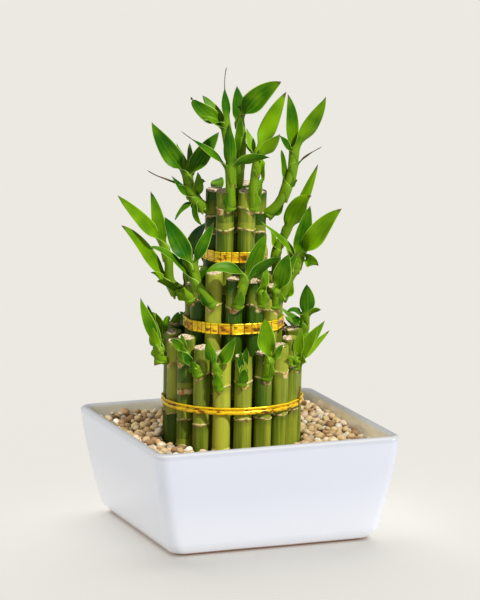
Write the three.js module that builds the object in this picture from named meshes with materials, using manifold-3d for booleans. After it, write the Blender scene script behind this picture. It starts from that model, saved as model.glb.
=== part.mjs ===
// Lucky bamboo: three tiers of cut canes tied in a round bundle, standing in pebbles in a square glazed pot.
// Millimetres, +Z up. The origin is the middle of the pot's underside, and the pot's sides face X and Y.
// The bundle has its own frame, turned in the pot: X to the right, Y away from the front, Z up from the table.
import * as THREE from "three";
import { mergeVertices } from "three/addons/utils/BufferGeometryUtils.js";
import Module from "manifold-3d";

const wasm = await Module();
wasm.setup();

// The pot
const RIM_HALF = 79;
const POT_HEIGHT = 67;
const BASE_INSET = 11.8;
const FLARE = 1.35;
const WALL = 5;
const FLOOR_TOP = 9;
const RIM_CORNER = 8;
const LIP_ROUND = 1.6;
const FOOT_INSET = 4.5;
const FOOT_RISE = 9;
const FOOT_WIDTH = 5;
const RECESS = 1.2;

// The pebbles
const GAP = 0.3;
const BED_TOP = 56.5;
const PEBBLES_ACROSS = 8;
const PEBBLE_ROWS = 9;
const PEBBLE_MARGIN = 5;
const PEBBLE_SEED = 43;

// The bundle
const BUNDLE_TURN = -20;
const BUNDLE_AT = [-3, 1.1];
const LEAN = 0.02;
const LEAN_FREE_HEIGHT = 82;
const CANE_FOOT = FLOOR_TOP + GAP;
const CANE_SIDES = 8;
const NODE_RIDGE = 0.4;
const NODE_STEP = 1.6;
const HOLE_CLEAR = NODE_RIDGE + GAP + 0.15;
const HEART_HOLE = 39;

// Each tier: canes on a ring, with the bearing of the first one as seen from above.
// Bearing 0 faces the front and grows to the right. Tops run round from the first bearing.
const TIERS = {
  outer: {
    ring: 37.4,
    radius: 5.4,
    first: -170,
    tops: [120, 122, 121, 126, 123, 120, 124, 119.5, 117, 115, 116, 119, 121.5, 125, 122, 119, 121, 120],
    shootAt: [104, 106, 105, 108, 108, 106.7, 110, 103.7, 96.8, 99.6, 101.2, 103.3, 104.2, 109, 106, 103, 105, 104],
    lowNodes: [72],
  },
  middle: {
    ring: 25,
    radius: 5.2,
    first: -180,
    tops: [158, 161, 156, 153, 165, 164, 160.5, 158.5, 147, 152, 157, 160],
    shootAt: [145, 147, 144, 144, 146, 145, 144, 144, 140, 143, 145, 146],
    lowNodes: [112],
  },
  inner: {
    ring: 13.2,
    radius: 5.5,
    first: -150,
    tops: [209, 211.7, 212.9, 212.9, 210.5, 214],
    shootAt: [193, 196, 203, 203, 198, 192],
    lowNodes: [189, 158],
  },
};
const HEART_CANE = { radius: 5.2, top: 210, shootAt: 200 };

// Gilt ties: height of the middle, how tall, and how thick
const TIES = {
  tie_lower: { tier: "outer", height: 81.6, tall: 3.4, thick: 1, steps: 2 },
  tie_middle: { tier: "middle", height: 130, tall: 6.6, thick: 1, steps: 3 },
  tie_upper: { tier: "inner", height: 172.2, tall: 6.5, thick: 1, steps: 4 },
};
const TIE_CLEAR = 0.35;
const TAIL_BEARING = 62;
const TAIL_LONG = 8;
const TAIL_OUT = 1.2;
const TAIL_WIDE = 3;

// Leaves and shoots
const STEM_SIDES = 5;
const STEM_FOOT = 3.5;
const STEM_TOP = 2.7;
const LEAF_THICK = 1.3;
const LEAF_FOLD = 0.28;
const FRONT = [0, -1, 0.3];
const LONG_LEAF = [[0, 0.4], [0.2, 0.84], [0.45, 1], [0.74, 0.7], [1, 0]];
const SHORT_LEAF = [[0, 0.5], [0.35, 1], [0.7, 0.75], [1, 0]];
const SHORT_BELOW = 24;

// The shoots that show from the front, by cane, read off by eye in the bundle's frame.
// stem: points [right, away, up] from the cane's skin to the shoot's tip.
// leaves: [stem point it springs from, tip right, away, up, width, bow right, bow up, twist in degrees]
const SHOOTS = {
  "inner -30": {
    stem: [[-1, -16, 204], [-1, -18, 214], [-1, -18, 228], [-2, -18, 242], [-4, -17, 254]],
    leaves: [
      [2, -2, -26, 256, 8, 0, 0, 0],
      [2, 23, -31, 236, 7, 0, 3, 35],
      [2, -31, -28, 252, 6, 0, 0, 30],
      [4, -3, -17, 290, 7, -3, 0, 30],
      [4, -25, -22, 272, 10.5, -3.2, -2, 0],
      [4, -18, -10, 271, 8.5, 0, 1, 20],
      [4, -18, -27, 260, 6, 0, 2, 50],
    ],
  },
  "inner 30": {
    stem: [[13, -15, 204], [13, -18, 214], [14, -19, 223], [15, -19, 233], [15, -18, 237]],
    leaves: [
      [4, 33, -14, 274, 11, -1, 0.5, 0],
      [3, 29, -27, 250, 9, 1, -0.5, 25],
      [4, 9, -10, 251, 6, -1, 0, 30],
      [4, 8, -12, 242, 5, 0, 1, 40],
      [3, 18, -23, 219, 5, 3, 0, 45],
      [0, 18, -17, 218, 4, 1, 0, 30],
    ],
  },
  "inner -90": {
    stem: [[-18, -3, 202], [-23, -5, 207], [-26, -6, 213], [-27, -6, 220]],
    leaves: [
      [3, -49, -12, 255, 12.5, -1.5, -1, 0],
      [3, -8, 2, 247, 11.5, 0, 0.5, 0],
      [3, -34, 3, 240, 7, 0, 0, 45],
      [3, -26, 10, 239, 7, 0, 0, 45],
      [2, -52, -14, 226, 4.5, 0, -2, 45],
      [2, -16, -10, 218, 5, 0, 3, 40],
      [1, -37, -12, 222, 5, -1, 0, 30],
      [1, -21, -10, 224, 6.5, 1.5, 0, 0],
      [1, -35, -10, 194, 4.5, -1.5, 2, 30],
      [1, -18, -12, 191, 5, -4, 0, 35],
    ],
  },
  "inner 90": {
    stem: [[23, -3, 198], [30, -5, 206], [34, -6, 215], [37, -7, 228], [38, -7, 237]],
    leaves: [
      [4, 57, -14, 271, 10.5, 2, -1, 20],
      [4, 34, -2, 271, 9.5, 2, 0, 25],
      [3, 55, -12, 240, 4, 0, 0.5, 40],
      [4, 29, -13, 247, 6, 0, 0, 40],
      [2, 30, -11, 238, 6, 0, 0, 45],
      [2, 40, -10, 219, 4, 0, 1, 40],
    ],
  },
  heart: {
    stem: [[2, -2, 208], [4, -5, 217], [5, -8, 227], [6, -8, 240], [4, -8, 255]],
    leaves: [
      [4, 30, -14, 280, 14, -0.5, 3.5, 0],
      [4, 3, -2, 276, 9, 0, 0, 15],
      [2, 5, -13, 261, 7, 0, 0, 30],
    ],
  },
  "middle 120": {
    stem: [[27, 15, 154], [28, 15, 171], [34, 14, 185]],
    leaves: [
      [2, 49, 4, 207, 13, -4, 4, 0],
      [1, 24, 9, 186, 6, 0, 0, 50],
      [2, 53, 10, 226, 7, 1, 0, 0],
    ],
  },
  "middle -90": {
    stem: [[-30, -1, 148], [-38, -3, 155], [-39, -5, 167], [-41, -5, 177]],
    leaves: [
      [1, -68, -10, 191, 9.5, 1, 4, 20],
      [3, -70, -12, 210, 9.5, 0.5, -0.5, 10],
      [3, -50, -3, 211, 9, 1, 0, 10],
      [1, -50, -12, 162, 6, 0, 1.5, 45],
    ],
  },
  "middle -60": {
    stem: [[-26, -15, 147], [-31, -18, 152]],
    leaves: [[1, -46, -20, 158, 6, 0, 2, 30]],
  },
  "middle -30": {
    stem: [[-13, -26, 146], [-18, -29, 153], [-22, -31, 160], [-24, -31, 170]],
    leaves: [
      [3, -41, -27, 199, 12.5, 0, 0, 0],
      [3, -11, -27, 196, 7.5, 0, 0, 0],
      [2, -51, -36, 182, 8, 2, 6, 50],
    ],
  },
  "middle 0": {
    stem: [[4, -30, 146], [6, -33, 155], [8, -33, 162]],
    leaves: [
      [2, -17, -40, 166, 8.5, 1, 7.5, 25],
      [2, 21, -30, 189, 10.5, 0, 1, 0],
      [2, 30, -38, 176, 8, 0, 3, 40],
    ],
  },
  "middle 30": {
    stem: [[18, -25, 146], [18, -28, 153]],
    leaves: [[1, 21, -28, 170, 6, 0, 0, 35]],
  },
  "middle 60": {
    stem: [[26, -15, 143], [27, -18, 152]],
    leaves: [
      [1, 35, -20, 175, 12, -1, 0, 0],
      [1, 40, -12, 175, 8, 0, 0, 40],
    ],
  },
  "middle 90": {
    stem: [[31, -1, 146], [36, -3, 158], [39, -4, 162], [41, -5, 170]],
    leaves: [
      [3, 67, -14, 202, 13, -1.7, 2.3, 0],
      [3, 48, -3, 202, 11, -0.5, 0, 10],
      [3, 53, -12, 166, 8.5, 1, 3.5, 20],
      [3, 15, -22, 197, 4.5, 2, 1, 45],
      [2, 33, 4, 181, 7, 0, 0, 40],
    ],
  },
  "outer -110": {
    stem: [[-41, 15, 110], [-41, 16, 117]],
    leaves: [
      [1, -29, 8, 130, 5.5, 0.5, 10, 0],
      [1, -50, 26, 130, 7, 0, 2, 0],
    ],
  },
  "outer -90": {
    stem: [[-42, -1, 110], [-44, 0, 117]],
    leaves: [
      [1, -47, 4, 134, 6, 0, 0, 30],
      [1, -38, 3, 129, 5, -1, 10, 30],
    ],
  },
  "outer -70": {
    stem: [[-44, -16, 109], [-44, -18, 116]],
    leaves: [
      [1, -56, -21, 148, 8, -2, 0, 20],
      [1, -52, -12, 142, 6, 0, 0, 20],
      [1, -48, -24, 130, 7, -2, 0, 0],
    ],
  },
  "outer -50": {
    stem: [[-28, -30, 112], [-28, -31, 116]],
    leaves: [
      [1, -38, -35, 124, 6, 1, 2.5, 0],
      [1, -31, -30, 127, 5, 0, 0, 0],
    ],
  },
  "outer -30": {
    stem: [[-21, -37, 105], [-22, -39, 109]],
    leaves: [[1, -31, -42, 118, 5.5, 0, 1.5, 0]],
  },
  "outer -10": {
    stem: [[-8, -41, 97], [-9, -43, 104], [-9, -43, 110]],
    leaves: [
      [2, -15, -45, 126, 7.5, -1, 0, 0],
      [2, 2, -46, 128, 8.5, 0, -1, 0],
    ],
  },
  "outer 10": {
    stem: [[6, -41, 100], [7, -43, 107]],
    leaves: [
      [1, 9, -45, 122, 5, 0, 0, 0],
      [1, 5, -43, 119, 4.5, 0, 0, 0],
    ],
  },
  "outer 30": {
    stem: [[21, -37, 103], [22, -40, 109], [23, -41, 114]],
    leaves: [
      [2, 20, -43, 140, 11.5, 0, 0, 0],
      [2, 31, -43, 123, 5.5, 0, 1, 20],
    ],
  },
  "outer 70": {
    stem: [[39, -15, 105], [40, -18, 109]],
    leaves: [
      [1, 43, -21, 128, 7, -1, 0, 0],
      [1, 53, -22, 131, 8, 0, 0, 0],
      [1, 57, -12, 132, 7, 0, 0, 0],
      [1, 60, -8, 125, 6, 0, 0, 30],
      [1, 34, -32, 114, 5, 0, 0, 30],
    ],
  },
  "outer 90": {
    stem: [[42, 0, 111], [44, 2, 118], [45, 2, 126], [45, 1, 134]],
    leaves: [
      [3, 46, -3, 153, 10, 0.5, 0, 0],
      [3, 34, -5, 136, 6, 0, 3, 40],
      [3, 55, -4, 137, 5, 0, 2.5, 50],
      [2, 37, -5, 132, 6, -2, 2, 0],
    ],
  },
};
const BARE_CANES = ["outer 50"];

// The shoots at the back: how far the leaves reach out and up, and how far they spread in bearing
const BACK_SHOOTS = {
  outer: { rise: 10, reach: [15, 17], lift: [13, 9], spread: [2, -2], pull: 0.6, width: 7 },
  middle: { rise: 20, reach: [24, 26, 20], lift: [20, 6, 12], spread: [4, -4, 1], pull: 0.6, width: 9 },
  inner: { rise: 12, reach: [28, 24, 20], lift: [3, -11, 8], spread: [-8, -2, -20], pull: 0.9, width: 9 },
};

const at = (x, y, z) => new THREE.Vector3(x, y, z);
const leanAt = (z) => LEAN * (z - LEAN_FREE_HEIGHT);

// A direction in plan for a bearing in degrees: 0 faces the front, 90 the right.
function bearing(degrees) {
  const a = THREE.MathUtils.degToRad(degrees);
  return at(Math.sin(a), -Math.cos(a), 0);
}

// A closed mesh as a solid, turned the right way out.
function solidFrom(points, triangles) {
  let volume = 0;
  for (const [a, b, c] of triangles) {
    volume += points[a].dot(points[b].clone().cross(points[c]));
  }
  const turned = volume < 0 ? triangles.map(([a, b, c]) => [a, c, b]) : triangles;
  const vertProperties = new Float32Array(points.flatMap((p) => [p.x, p.y, p.z]));
  const triVerts = new Uint32Array(turned.flat());
  return new wasm.Manifold(new wasm.Mesh({ numProp: 3, vertProperties, triVerts }));
}

// Skin over a row of rings with equal counts. An end ring may be a single point.
function loft(rings, joined = false) {
  const points = rings.flat();
  const starts = rings.map((_, i) => rings.slice(0, i).reduce((sum, r) => sum + r.length, 0));
  const triangles = [];
  const spans = joined ? rings.length : rings.length - 1;
  for (let i = 0; i < spans; i++) {
    const j = (i + 1) % rings.length;
    const count = Math.max(rings[i].length, rings[j].length);
    for (let k = 0; k < count; k++) {
      const next = (k + 1) % count;
      const low = rings[i].length > 1 ? [starts[i] + k, starts[i] + next] : [starts[i]];
      const high = rings[j].length > 1 ? [starts[j] + k, starts[j] + next] : [starts[j]];
      if (low.length > 1) triangles.push([low[0], low[1], high.at(-1)]);
      if (high.length > 1) triangles.push([low[0], high.at(-1), high[0]]);
    }
  }
  if (!joined) {
    for (let k = 1; k < rings[0].length - 1; k++) {
      triangles.push([starts[0], starts[0] + k + 1, starts[0] + k]);
    }
    for (let k = 1; k < rings.at(-1).length - 1; k++) {
      triangles.push([starts.at(-1), starts.at(-1) + k, starts.at(-1) + k + 1]);
    }
  }
  return solidFrom(points, triangles);
}

function geometryFrom(solid, origin) {
  const { vertProperties, triVerts } = solid.getMesh();
  const geometry = new THREE.BufferGeometry();
  geometry.setAttribute("position", new THREE.BufferAttribute(vertProperties, 3));
  geometry.setIndex(new THREE.BufferAttribute(triVerts, 1));
  geometry.translate(-origin.x, -origin.y, -origin.z);
  geometry.computeVertexNormals();
  return geometry;
}

function part(name, solid, finish, origin = at(0, 0, 0)) {
  const mesh = new THREE.Mesh(geometryFrom(solid, origin), new THREE.MeshStandardMaterial(finish));
  mesh.name = name;
  mesh.position.copy(origin);
  return mesh;
}

// A square ring with rounded corners, four points to a corner.
function squareRing(half, corner, z) {
  const ring = [];
  for (let quarter = 0; quarter < 4; quarter++) {
    const [sx, sy] = [[1, 1], [-1, 1], [-1, -1], [1, -1]][quarter];
    for (let step = 0; step < 4; step++) {
      const a = (quarter + step / 3) * (Math.PI / 2);
      ring.push(at(
        sx * (half - corner) + corner * Math.cos(a),
        sy * (half - corner) + corner * Math.sin(a),
        z,
      ));
    }
  }
  return ring;
}

// Half the pot's outside width at a height: it flares from the foot, ever more steeply near the rim.
function potHalf(z) {
  return RIM_HALF - BASE_INSET * (1 - z / POT_HEIGHT) ** FLARE;
}

function pot() {
  const foot = potHalf(0) - FOOT_INSET;
  const outside = [14, 24, 36, 48, 60, POT_HEIGHT - LIP_ROUND];
  const inside = [62, 50, 36, 24, FLOOR_TOP + 5];
  return loft([
    squareRing(foot - FOOT_WIDTH, RIM_CORNER, RECESS),
    squareRing(foot - FOOT_WIDTH + RECESS, RIM_CORNER, 0),
    squareRing(foot, RIM_CORNER, 0),
    ...[0.12, 0.4, 0.7, 1].map((share) => {
      const z = FOOT_RISE * share;
      return squareRing(potHalf(z) - FOOT_INSET * (1 - share) ** 2, RIM_CORNER, z);
    }),
    ...outside.map((z) => squareRing(potHalf(z), RIM_CORNER, z)),
    squareRing(RIM_HALF - LIP_ROUND, RIM_CORNER, POT_HEIGHT),
    squareRing(RIM_HALF - WALL + LIP_ROUND, RIM_CORNER - 2, POT_HEIGHT),
    ...inside.map((z) => squareRing(potHalf(z) - WALL, RIM_CORNER - 2, z)),
    squareRing(potHalf(FLOOR_TOP) - WALL - 3, RIM_CORNER - 2, FLOOR_TOP),
  ]);
}

function caneCentre(tier, degrees) {
  return bearing(degrees).multiplyScalar(tier.ring);
}

function circle(centre, radius, z, sides) {
  return Array.from({ length: sides }, (_, i) => {
    const a = (2 * Math.PI * i) / sides;
    return at(centre.x + leanAt(z) + radius * Math.cos(a), centre.y + radius * Math.sin(a), z);
  });
}

// A cane: nearly straight, a little wider just under each node, and cut square at the top.
function cane(centre, radius, top, nodes) {
  const rings = [circle(centre, radius, CANE_FOOT, CANE_SIDES)];
  for (const z of [...nodes].sort((a, b) => a - b)) {
    rings.push(circle(centre, radius + NODE_RIDGE, z, CANE_SIDES));
    rings.push(circle(centre, radius, z + NODE_STEP, CANE_SIDES));
  }
  rings.push(circle(centre, radius, top, CANE_SIDES));
  return loft(rings);
}

// Two directions square to a line, the second one turned towards a given face.
function crossAxes(along, face) {
  const side = along.clone().cross(face).normalize();
  return { side, up: side.clone().cross(along).normalize() };
}

// The green stem of a shoot, rooted in the cane's middle.
function stem(points, root) {
  const line = [root, ...points];
  const tip = line.at(-1).clone().lerp(line.at(-2), -0.25);
  const rings = line.map((p, i) => {
    const along = line[Math.min(i + 1, line.length - 1)].clone().sub(line[Math.max(i - 1, 0)]).normalize();
    const { side, up } = crossAxes(along, at(1, 0, 0));
    const radius = THREE.MathUtils.lerp(STEM_FOOT, STEM_TOP, i / (line.length - 1));
    return Array.from({ length: STEM_SIDES }, (_, k) => {
      const a = (2 * Math.PI * k) / STEM_SIDES;
      return p.clone().addScaledVector(side, radius * Math.cos(a)).addScaledVector(up, radius * Math.sin(a));
    });
  });
  return loft([...rings, [tip]]);
}

// A leaf: a folded blade along a bowed midrib, thick at the midrib and fine at its edges.
function leaf(base, tip, width, bow, face, twist = 0) {
  const middle = base.clone().add(tip).multiplyScalar(0.5);
  const rib = new THREE.QuadraticBezierCurve3(base, middle.clone().addScaledVector(bow, 2), tip);
  const shape = base.distanceTo(tip) < SHORT_BELOW ? SHORT_LEAF : LONG_LEAF;
  const rings = shape.map(([t, share]) => {
    if (share === 0) return [tip];
    const p = rib.getPoint(t);
    const along = rib.getTangent(t);
    const flat = crossAxes(along, face);
    const side = flat.side.clone().applyAxisAngle(along, twist);
    const up = flat.up.clone().applyAxisAngle(along, twist);
    const half = (width / 2) * share;
    const thick = LEAF_THICK * Math.max(share, 0.6);
    const edge = (s) => p.clone().addScaledVector(side, s * half).addScaledVector(up, half * LEAF_FOLD);
    return [
      edge(-1),
      p.clone().addScaledVector(up, thick / 2),
      edge(1),
      p.clone().addScaledVector(up, -thick / 2),
    ];
  });
  return loft(rings);
}

function frontShoot({ stem: points, leaves }, root) {
  const line = points.map((p) => at(...p));
  const solids = [stem(line, root)];
  for (const [from, x, y, z, width, bowX, bowZ, twist] of leaves) {
    const turn = THREE.MathUtils.degToRad(twist);
    solids.push(leaf(line[from], at(x, y, z), width, at(bowX, 0, bowZ), at(...FRONT), turn));
  }
  return solids;
}

// A shoot behind, grown by rule: its stem leaves the cane outwards, and its leaves turn towards the back.
function backShoot(plan, tier, degrees, height, root) {
  const out = (angle, distance, z) => bearing(angle).multiplyScalar(distance).add(at(leanAt(z), 0, z));
  const skin = tier.ring + tier.radius * 0.8;
  const side = degrees < 0 ? -1 : 1;
  const line = [
    out(degrees, skin, height),
    out(degrees, skin + 4, height + plan.rise * 0.5),
    out(degrees, skin + 5, height + plan.rise),
  ];
  const solids = [stem(line, root)];
  plan.reach.forEach((reach, i) => {
    const lean = Math.sin(degrees + 2 * i);
    const turned = plan.pull * (side * 180 - degrees) + side * plan.spread[i];
    const away = degrees + turned + 2 * lean;
    const tip = out(away, skin + 5 + reach + 2 * lean, height + plan.rise + plan.lift[i] + 3 * lean);
    const face = bearing(degrees).multiplyScalar(-0.4).add(at(0, 0, 1));
    solids.push(leaf(line[i % 2 === 0 ? 2 : 1], tip, plan.width, at(0, 0, reach * 0.12), face));
  });
  return solids;
}

function join(solids) {
  return solids.reduce((whole, next) => whole.add(next));
}

const CANE_FINISH = { color: 0x7f9a3c, roughness: 0.45, metalness: 0 };

function leafyCane(tierName, degrees, index) {
  const tier = TIERS[tierName];
  const centre = caneCentre(tier, degrees);
  const height = tier.shootAt[index];
  const solids = [cane(centre, tier.radius, tier.tops[index], [height, ...tier.lowNodes])];
  const label = tierName + " " + degrees;
  const root = at(centre.x + leanAt(height), centre.y, height - 4);
  if (SHOOTS[label]) solids.push(...frontShoot(SHOOTS[label], root));
  else if (!BARE_CANES.includes(label)) {
    solids.push(...backShoot(BACK_SHOOTS[tierName], tier, degrees, height, root));
  }
  const number = String(index + 1).padStart(2, "0");
  const foot = at(centre.x, centre.y, CANE_FOOT);
  return part("cane_" + tierName + "_" + number, join(solids), CANE_FINISH, foot);
}

function heartCane() {
  const { radius, top, shootAt } = HEART_CANE;
  const root = at(leanAt(shootAt), 0, shootAt - 4);
  const solids = [cane(at(0, 0, 0), radius, top, [shootAt, ...TIERS.inner.lowNodes])];
  solids.push(...frontShoot(SHOOTS.heart, root));
  return part("cane_heart", join(solids), CANE_FINISH, at(0, 0, CANE_FOOT));
}

function bearingsOf(tier) {
  return tier.tops.map((_, i) => tier.first + (360 / tier.tops.length) * i);
}

// A tie runs straight from cane to cane and bends round each one.
function tie({ tier: tierName, height, tall, thick, steps }) {
  const tier = TIERS[tierName];
  const half = 180 / tier.tops.length;
  const sections = [];
  for (const degrees of bearingsOf(tier)) {
    for (let step = 0; step < steps; step++) {
      const out = bearing(degrees + THREE.MathUtils.lerp(-half, half, step / (steps - 1)));
      const skin = caneCentre(tier, degrees).addScaledVector(out, tier.radius + TIE_CLEAR);
      skin.add(at(leanAt(height), 0, height));
      const profile = [[0, 0.5], [0, -0.5], [0.75, -0.5], [1, 0], [0.75, 0.5]];
      sections.push(profile.map(([depth, z]) =>
        skin.clone().addScaledVector(out, depth * thick).add(at(0, 0, z * tall))));
    }
  }
  return loft(sections, true);
}

// The twisted ends of the lower tie stand up where they were turned together.
function tieTail() {
  const tier = TIERS.outer;
  const { height } = TIES.tie_lower;
  const out = bearing(TAIL_BEARING);
  const across = bearing(TAIL_BEARING + 90);
  const up = at(0, 0, 1);
  const start = caneCentre(tier, 70).addScaledVector(out, tier.radius + TIE_CLEAR + 0.4);
  start.add(at(leanAt(height), 0, height));
  const rings = [0, 0.33, 0.66, 1].map((t) => {
    const p = start.clone().addScaledVector(up, TAIL_LONG * t).addScaledVector(out, TAIL_OUT * t);
    const turn = (t * Math.PI) / 2;
    const wide = across.clone().multiplyScalar(Math.cos(turn)).addScaledVector(out, Math.sin(turn));
    const deep = wide.clone().cross(up).normalize();
    const w = (TAIL_WIDE / 2) * (1 - 0.4 * t);
    const d = 0.45;
    return [[1, 1], [-1, 1], [-1, -1], [1, -1]].map(([a, b]) =>
      p.clone().addScaledVector(wide, a * w).addScaledVector(deep, b * d));
  });
  return loft(rings);
}

const bundle = new THREE.Group();
bundle.position.set(BUNDLE_AT[0], BUNDLE_AT[1], 0);
bundle.rotation.z = THREE.MathUtils.degToRad(BUNDLE_TURN);
bundle.updateMatrix();

// A small fixed row of random numbers between 0 and 1.
function dice(seed) {
  let state = seed;
  return () => {
    state = (state * 16807) % 2147483647;
    return state / 2147483647;
  };
}

function stone(centre, size, roll) {
  const shape = new THREE.IcosahedronGeometry(0.5, 0);
  shape.scale(size * (0.95 + 0.25 * roll()), size * (0.8 + 0.25 * roll()), size * 0.62);
  shape.rotateX(0.5 * (roll() - 0.5));
  shape.rotateZ(Math.PI * roll());
  shape.translate(centre.x, centre.y, centre.z);
  shape.deleteAttribute("normal");
  shape.deleteAttribute("uv");
  const merged = mergeVertices(shape, 1e-3);
  return new wasm.Manifold(new wasm.Mesh({
    numProp: 3,
    vertProperties: new Float32Array(merged.attributes.position.array),
    triVerts: new Uint32Array(merged.index.array),
  }));
}

// The hole in the bed that a cane or the middle of the bundle stands in, taken into the pot's frame.
function bundleHole(centre, radius, sides) {
  const rings = [0, POT_HEIGHT + 30].map((z) =>
    circle(centre, radius, z, sides).map((p) => p.applyMatrix4(bundle.matrix)));
  return loft(rings);
}

// The bed fills the pot round the bundle, and its top layer is whole stones half sunk in it.
function pebbles() {
  const roll = dice(PEBBLE_SEED);
  const inner = (z) => squareRing(potHalf(z) - WALL - GAP - 0.2, RIM_CORNER - 2, z);
  const floorRing = squareRing(potHalf(FLOOR_TOP) - WALL - 4, RIM_CORNER - 2, FLOOR_TOP + GAP);
  const bed = loft([floorRing, ...[FLOOR_TOP + 6, 34, BED_TOP].map(inner)]);
  const space = loft([floorRing, ...[FLOOR_TOP + 6, 34, BED_TOP, POT_HEIGHT].map(inner)]);
  const reach = potHalf(BED_TOP) - WALL - PEBBLE_MARGIN;
  const pitch = (2 * reach) / PEBBLES_ACROSS;
  const stones = [];
  for (let row = 0; row <= PEBBLE_ROWS; row++) {
    for (let column = 0; column <= PEBBLES_ACROSS - (row % 2); column++) {
      const x = -reach + (column + (row % 2) / 2 + 0.2 * (roll() - 0.5)) * pitch;
      const y = -reach + ((row + 0.2 * (roll() - 0.5)) / PEBBLE_ROWS) * 2 * reach;
      const size = pitch * (0.9 + 0.15 * roll());
      const lift = 1.6 * roll();
      const clear = Math.hypot(x - BUNDLE_AT[0], y - BUNDLE_AT[1]) > TIERS.outer.ring + 4;
      if (clear) stones.push(stone(at(x, y, BED_TOP + lift), size, roll));
    }
  }
  const holes = bearingsOf(TIERS.outer).map((degrees) =>
    bundleHole(caneCentre(TIERS.outer, degrees), TIERS.outer.radius + HOLE_CLEAR, 10));
  holes.push(bundleHole(at(0, 0, 0), HEART_HOLE, 18));
  return join([bed, ...stones]).intersect(space).subtract(join(holes));
}

const GLAZE = { color: 0xe6e8f2, roughness: 0.12, metalness: 0 };
const STONE = { color: 0xb9a58c, roughness: 0.8, metalness: 0 };
const GILT = { color: 0xd9b24a, roughness: 0.28, metalness: 1 };

for (const [tierName, tier] of Object.entries(TIERS)) {
  bearingsOf(tier).forEach((degrees, index) => bundle.add(leafyCane(tierName, degrees, index)));
}
bundle.add(heartCane());
for (const [name, plan] of Object.entries(TIES)) {
  const solid = name === "tie_lower" ? tie(plan).add(tieTail()) : tie(plan);
  bundle.add(part(name, solid, GILT));
}

const luckyBamboo = new THREE.Group();
luckyBamboo.add(part("pot", pot(), GLAZE));
luckyBamboo.add(part("pebbles", pebbles(), STONE));
luckyBamboo.add(bundle);

export default luckyBamboo;
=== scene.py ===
# %% [markdown]
# Lucky bamboo in a square pot: a lesson in Blender.
# Three rings of cut green canes are tied with gilt wire and stand in pebbles in a white glazed pot.
# The solids of the object are already there, as a fixed frame with real sizes.
# Each step below takes one piece of the real thing and gives it its fine shape and its finish.

# %% Load the frame
import math
import random

import bpy
from mathutils import Matrix, Vector, noise


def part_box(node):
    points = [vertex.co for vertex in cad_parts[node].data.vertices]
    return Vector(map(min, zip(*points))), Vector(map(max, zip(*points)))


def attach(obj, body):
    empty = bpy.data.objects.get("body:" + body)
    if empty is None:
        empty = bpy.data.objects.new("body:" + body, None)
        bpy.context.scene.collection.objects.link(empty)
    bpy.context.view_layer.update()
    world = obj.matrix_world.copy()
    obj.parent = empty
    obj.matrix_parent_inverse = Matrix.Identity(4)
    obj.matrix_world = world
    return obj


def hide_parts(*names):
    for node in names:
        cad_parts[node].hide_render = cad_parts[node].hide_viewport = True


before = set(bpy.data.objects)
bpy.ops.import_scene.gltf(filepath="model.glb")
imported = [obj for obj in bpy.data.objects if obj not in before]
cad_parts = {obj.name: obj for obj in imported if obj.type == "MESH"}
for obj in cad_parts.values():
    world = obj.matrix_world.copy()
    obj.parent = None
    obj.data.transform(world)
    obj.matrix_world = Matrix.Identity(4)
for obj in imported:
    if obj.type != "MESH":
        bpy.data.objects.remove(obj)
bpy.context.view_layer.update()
MM = 0.001
print("the frame has", len(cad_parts), "nodes")

# %% [markdown]
# The camera stands where the picture was taken from: far back with a long lens, a little above the pot's rim
# and turned to the left, so that two sides of the pot show and its upright lines stay nearly parallel.
# A near camera with a short lens would show the same pieces with slanted sides, so the distance comes first
# and the lens after it.

# %% Camera
VIEW_TURN = math.radians(-20.08)
VIEW_RISE = math.radians(11.6)
VIEW_AWAY = 2.476
LOOK_AT = Vector((0, 0, 0.1))
AIM_RIGHT = 1.67 * MM
AIM_UP = 41.84 * MM
LENS = 240
SENSOR = 36


def direction(turn, rise):
    """From the object to a thing that stands at a turn and a rise, with turn 0 in front of it."""
    return Vector((math.sin(turn) * math.cos(rise), -math.cos(turn) * math.cos(rise), math.sin(rise)))


def add_camera():
    """The one camera, aimed a little above the middle of the plant."""
    back = direction(VIEW_TURN, VIEW_RISE)
    right = Vector((math.cos(VIEW_TURN), math.sin(VIEW_TURN), 0))
    lens = bpy.data.cameras.new("camera")
    lens.lens = LENS
    lens.sensor_width = SENSOR
    camera = bpy.data.objects.new("camera", lens)
    camera.location = LOOK_AT + back * VIEW_AWAY
    aim = LOOK_AT + right * AIM_RIGHT + back.cross(right) * AIM_UP
    camera.rotation_euler = (aim - camera.location).to_track_quat("-Z", "Y").to_euler()
    bpy.context.scene.collection.objects.link(camera)
    bpy.context.scene.camera = camera
    return camera


print("the camera stands at", [round(value, 3) for value in add_camera().location])

# %% [markdown]
# Shader and geometry trees are written as Python. A small class wraps one output socket, and plain signs
# on it add Math nodes, so that a mask reads like a formula. Every other node comes from one method, which
# takes the node's type, the values or links of its sockets, and its settings.
# Clicking the same nodes together by hand would work too, but nobody could read them afterwards.

# %% Sockets that can be added and multiplied
class Value:
    """An output socket. Plain signs on it add Math nodes to its tree."""

    def __init__(self, sheet, socket):
        self.sheet = sheet
        self.socket = socket

    def __add__(self, other):
        return self.sheet.maths("ADD", self, other)

    def __sub__(self, other):
        return self.sheet.maths("SUBTRACT", self, other)

    def __rsub__(self, other):
        return self.sheet.maths("SUBTRACT", other, self)

    def __mul__(self, other):
        return self.sheet.maths("MULTIPLY", self, other)

    __radd__ = __add__
    __rmul__ = __mul__


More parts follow.
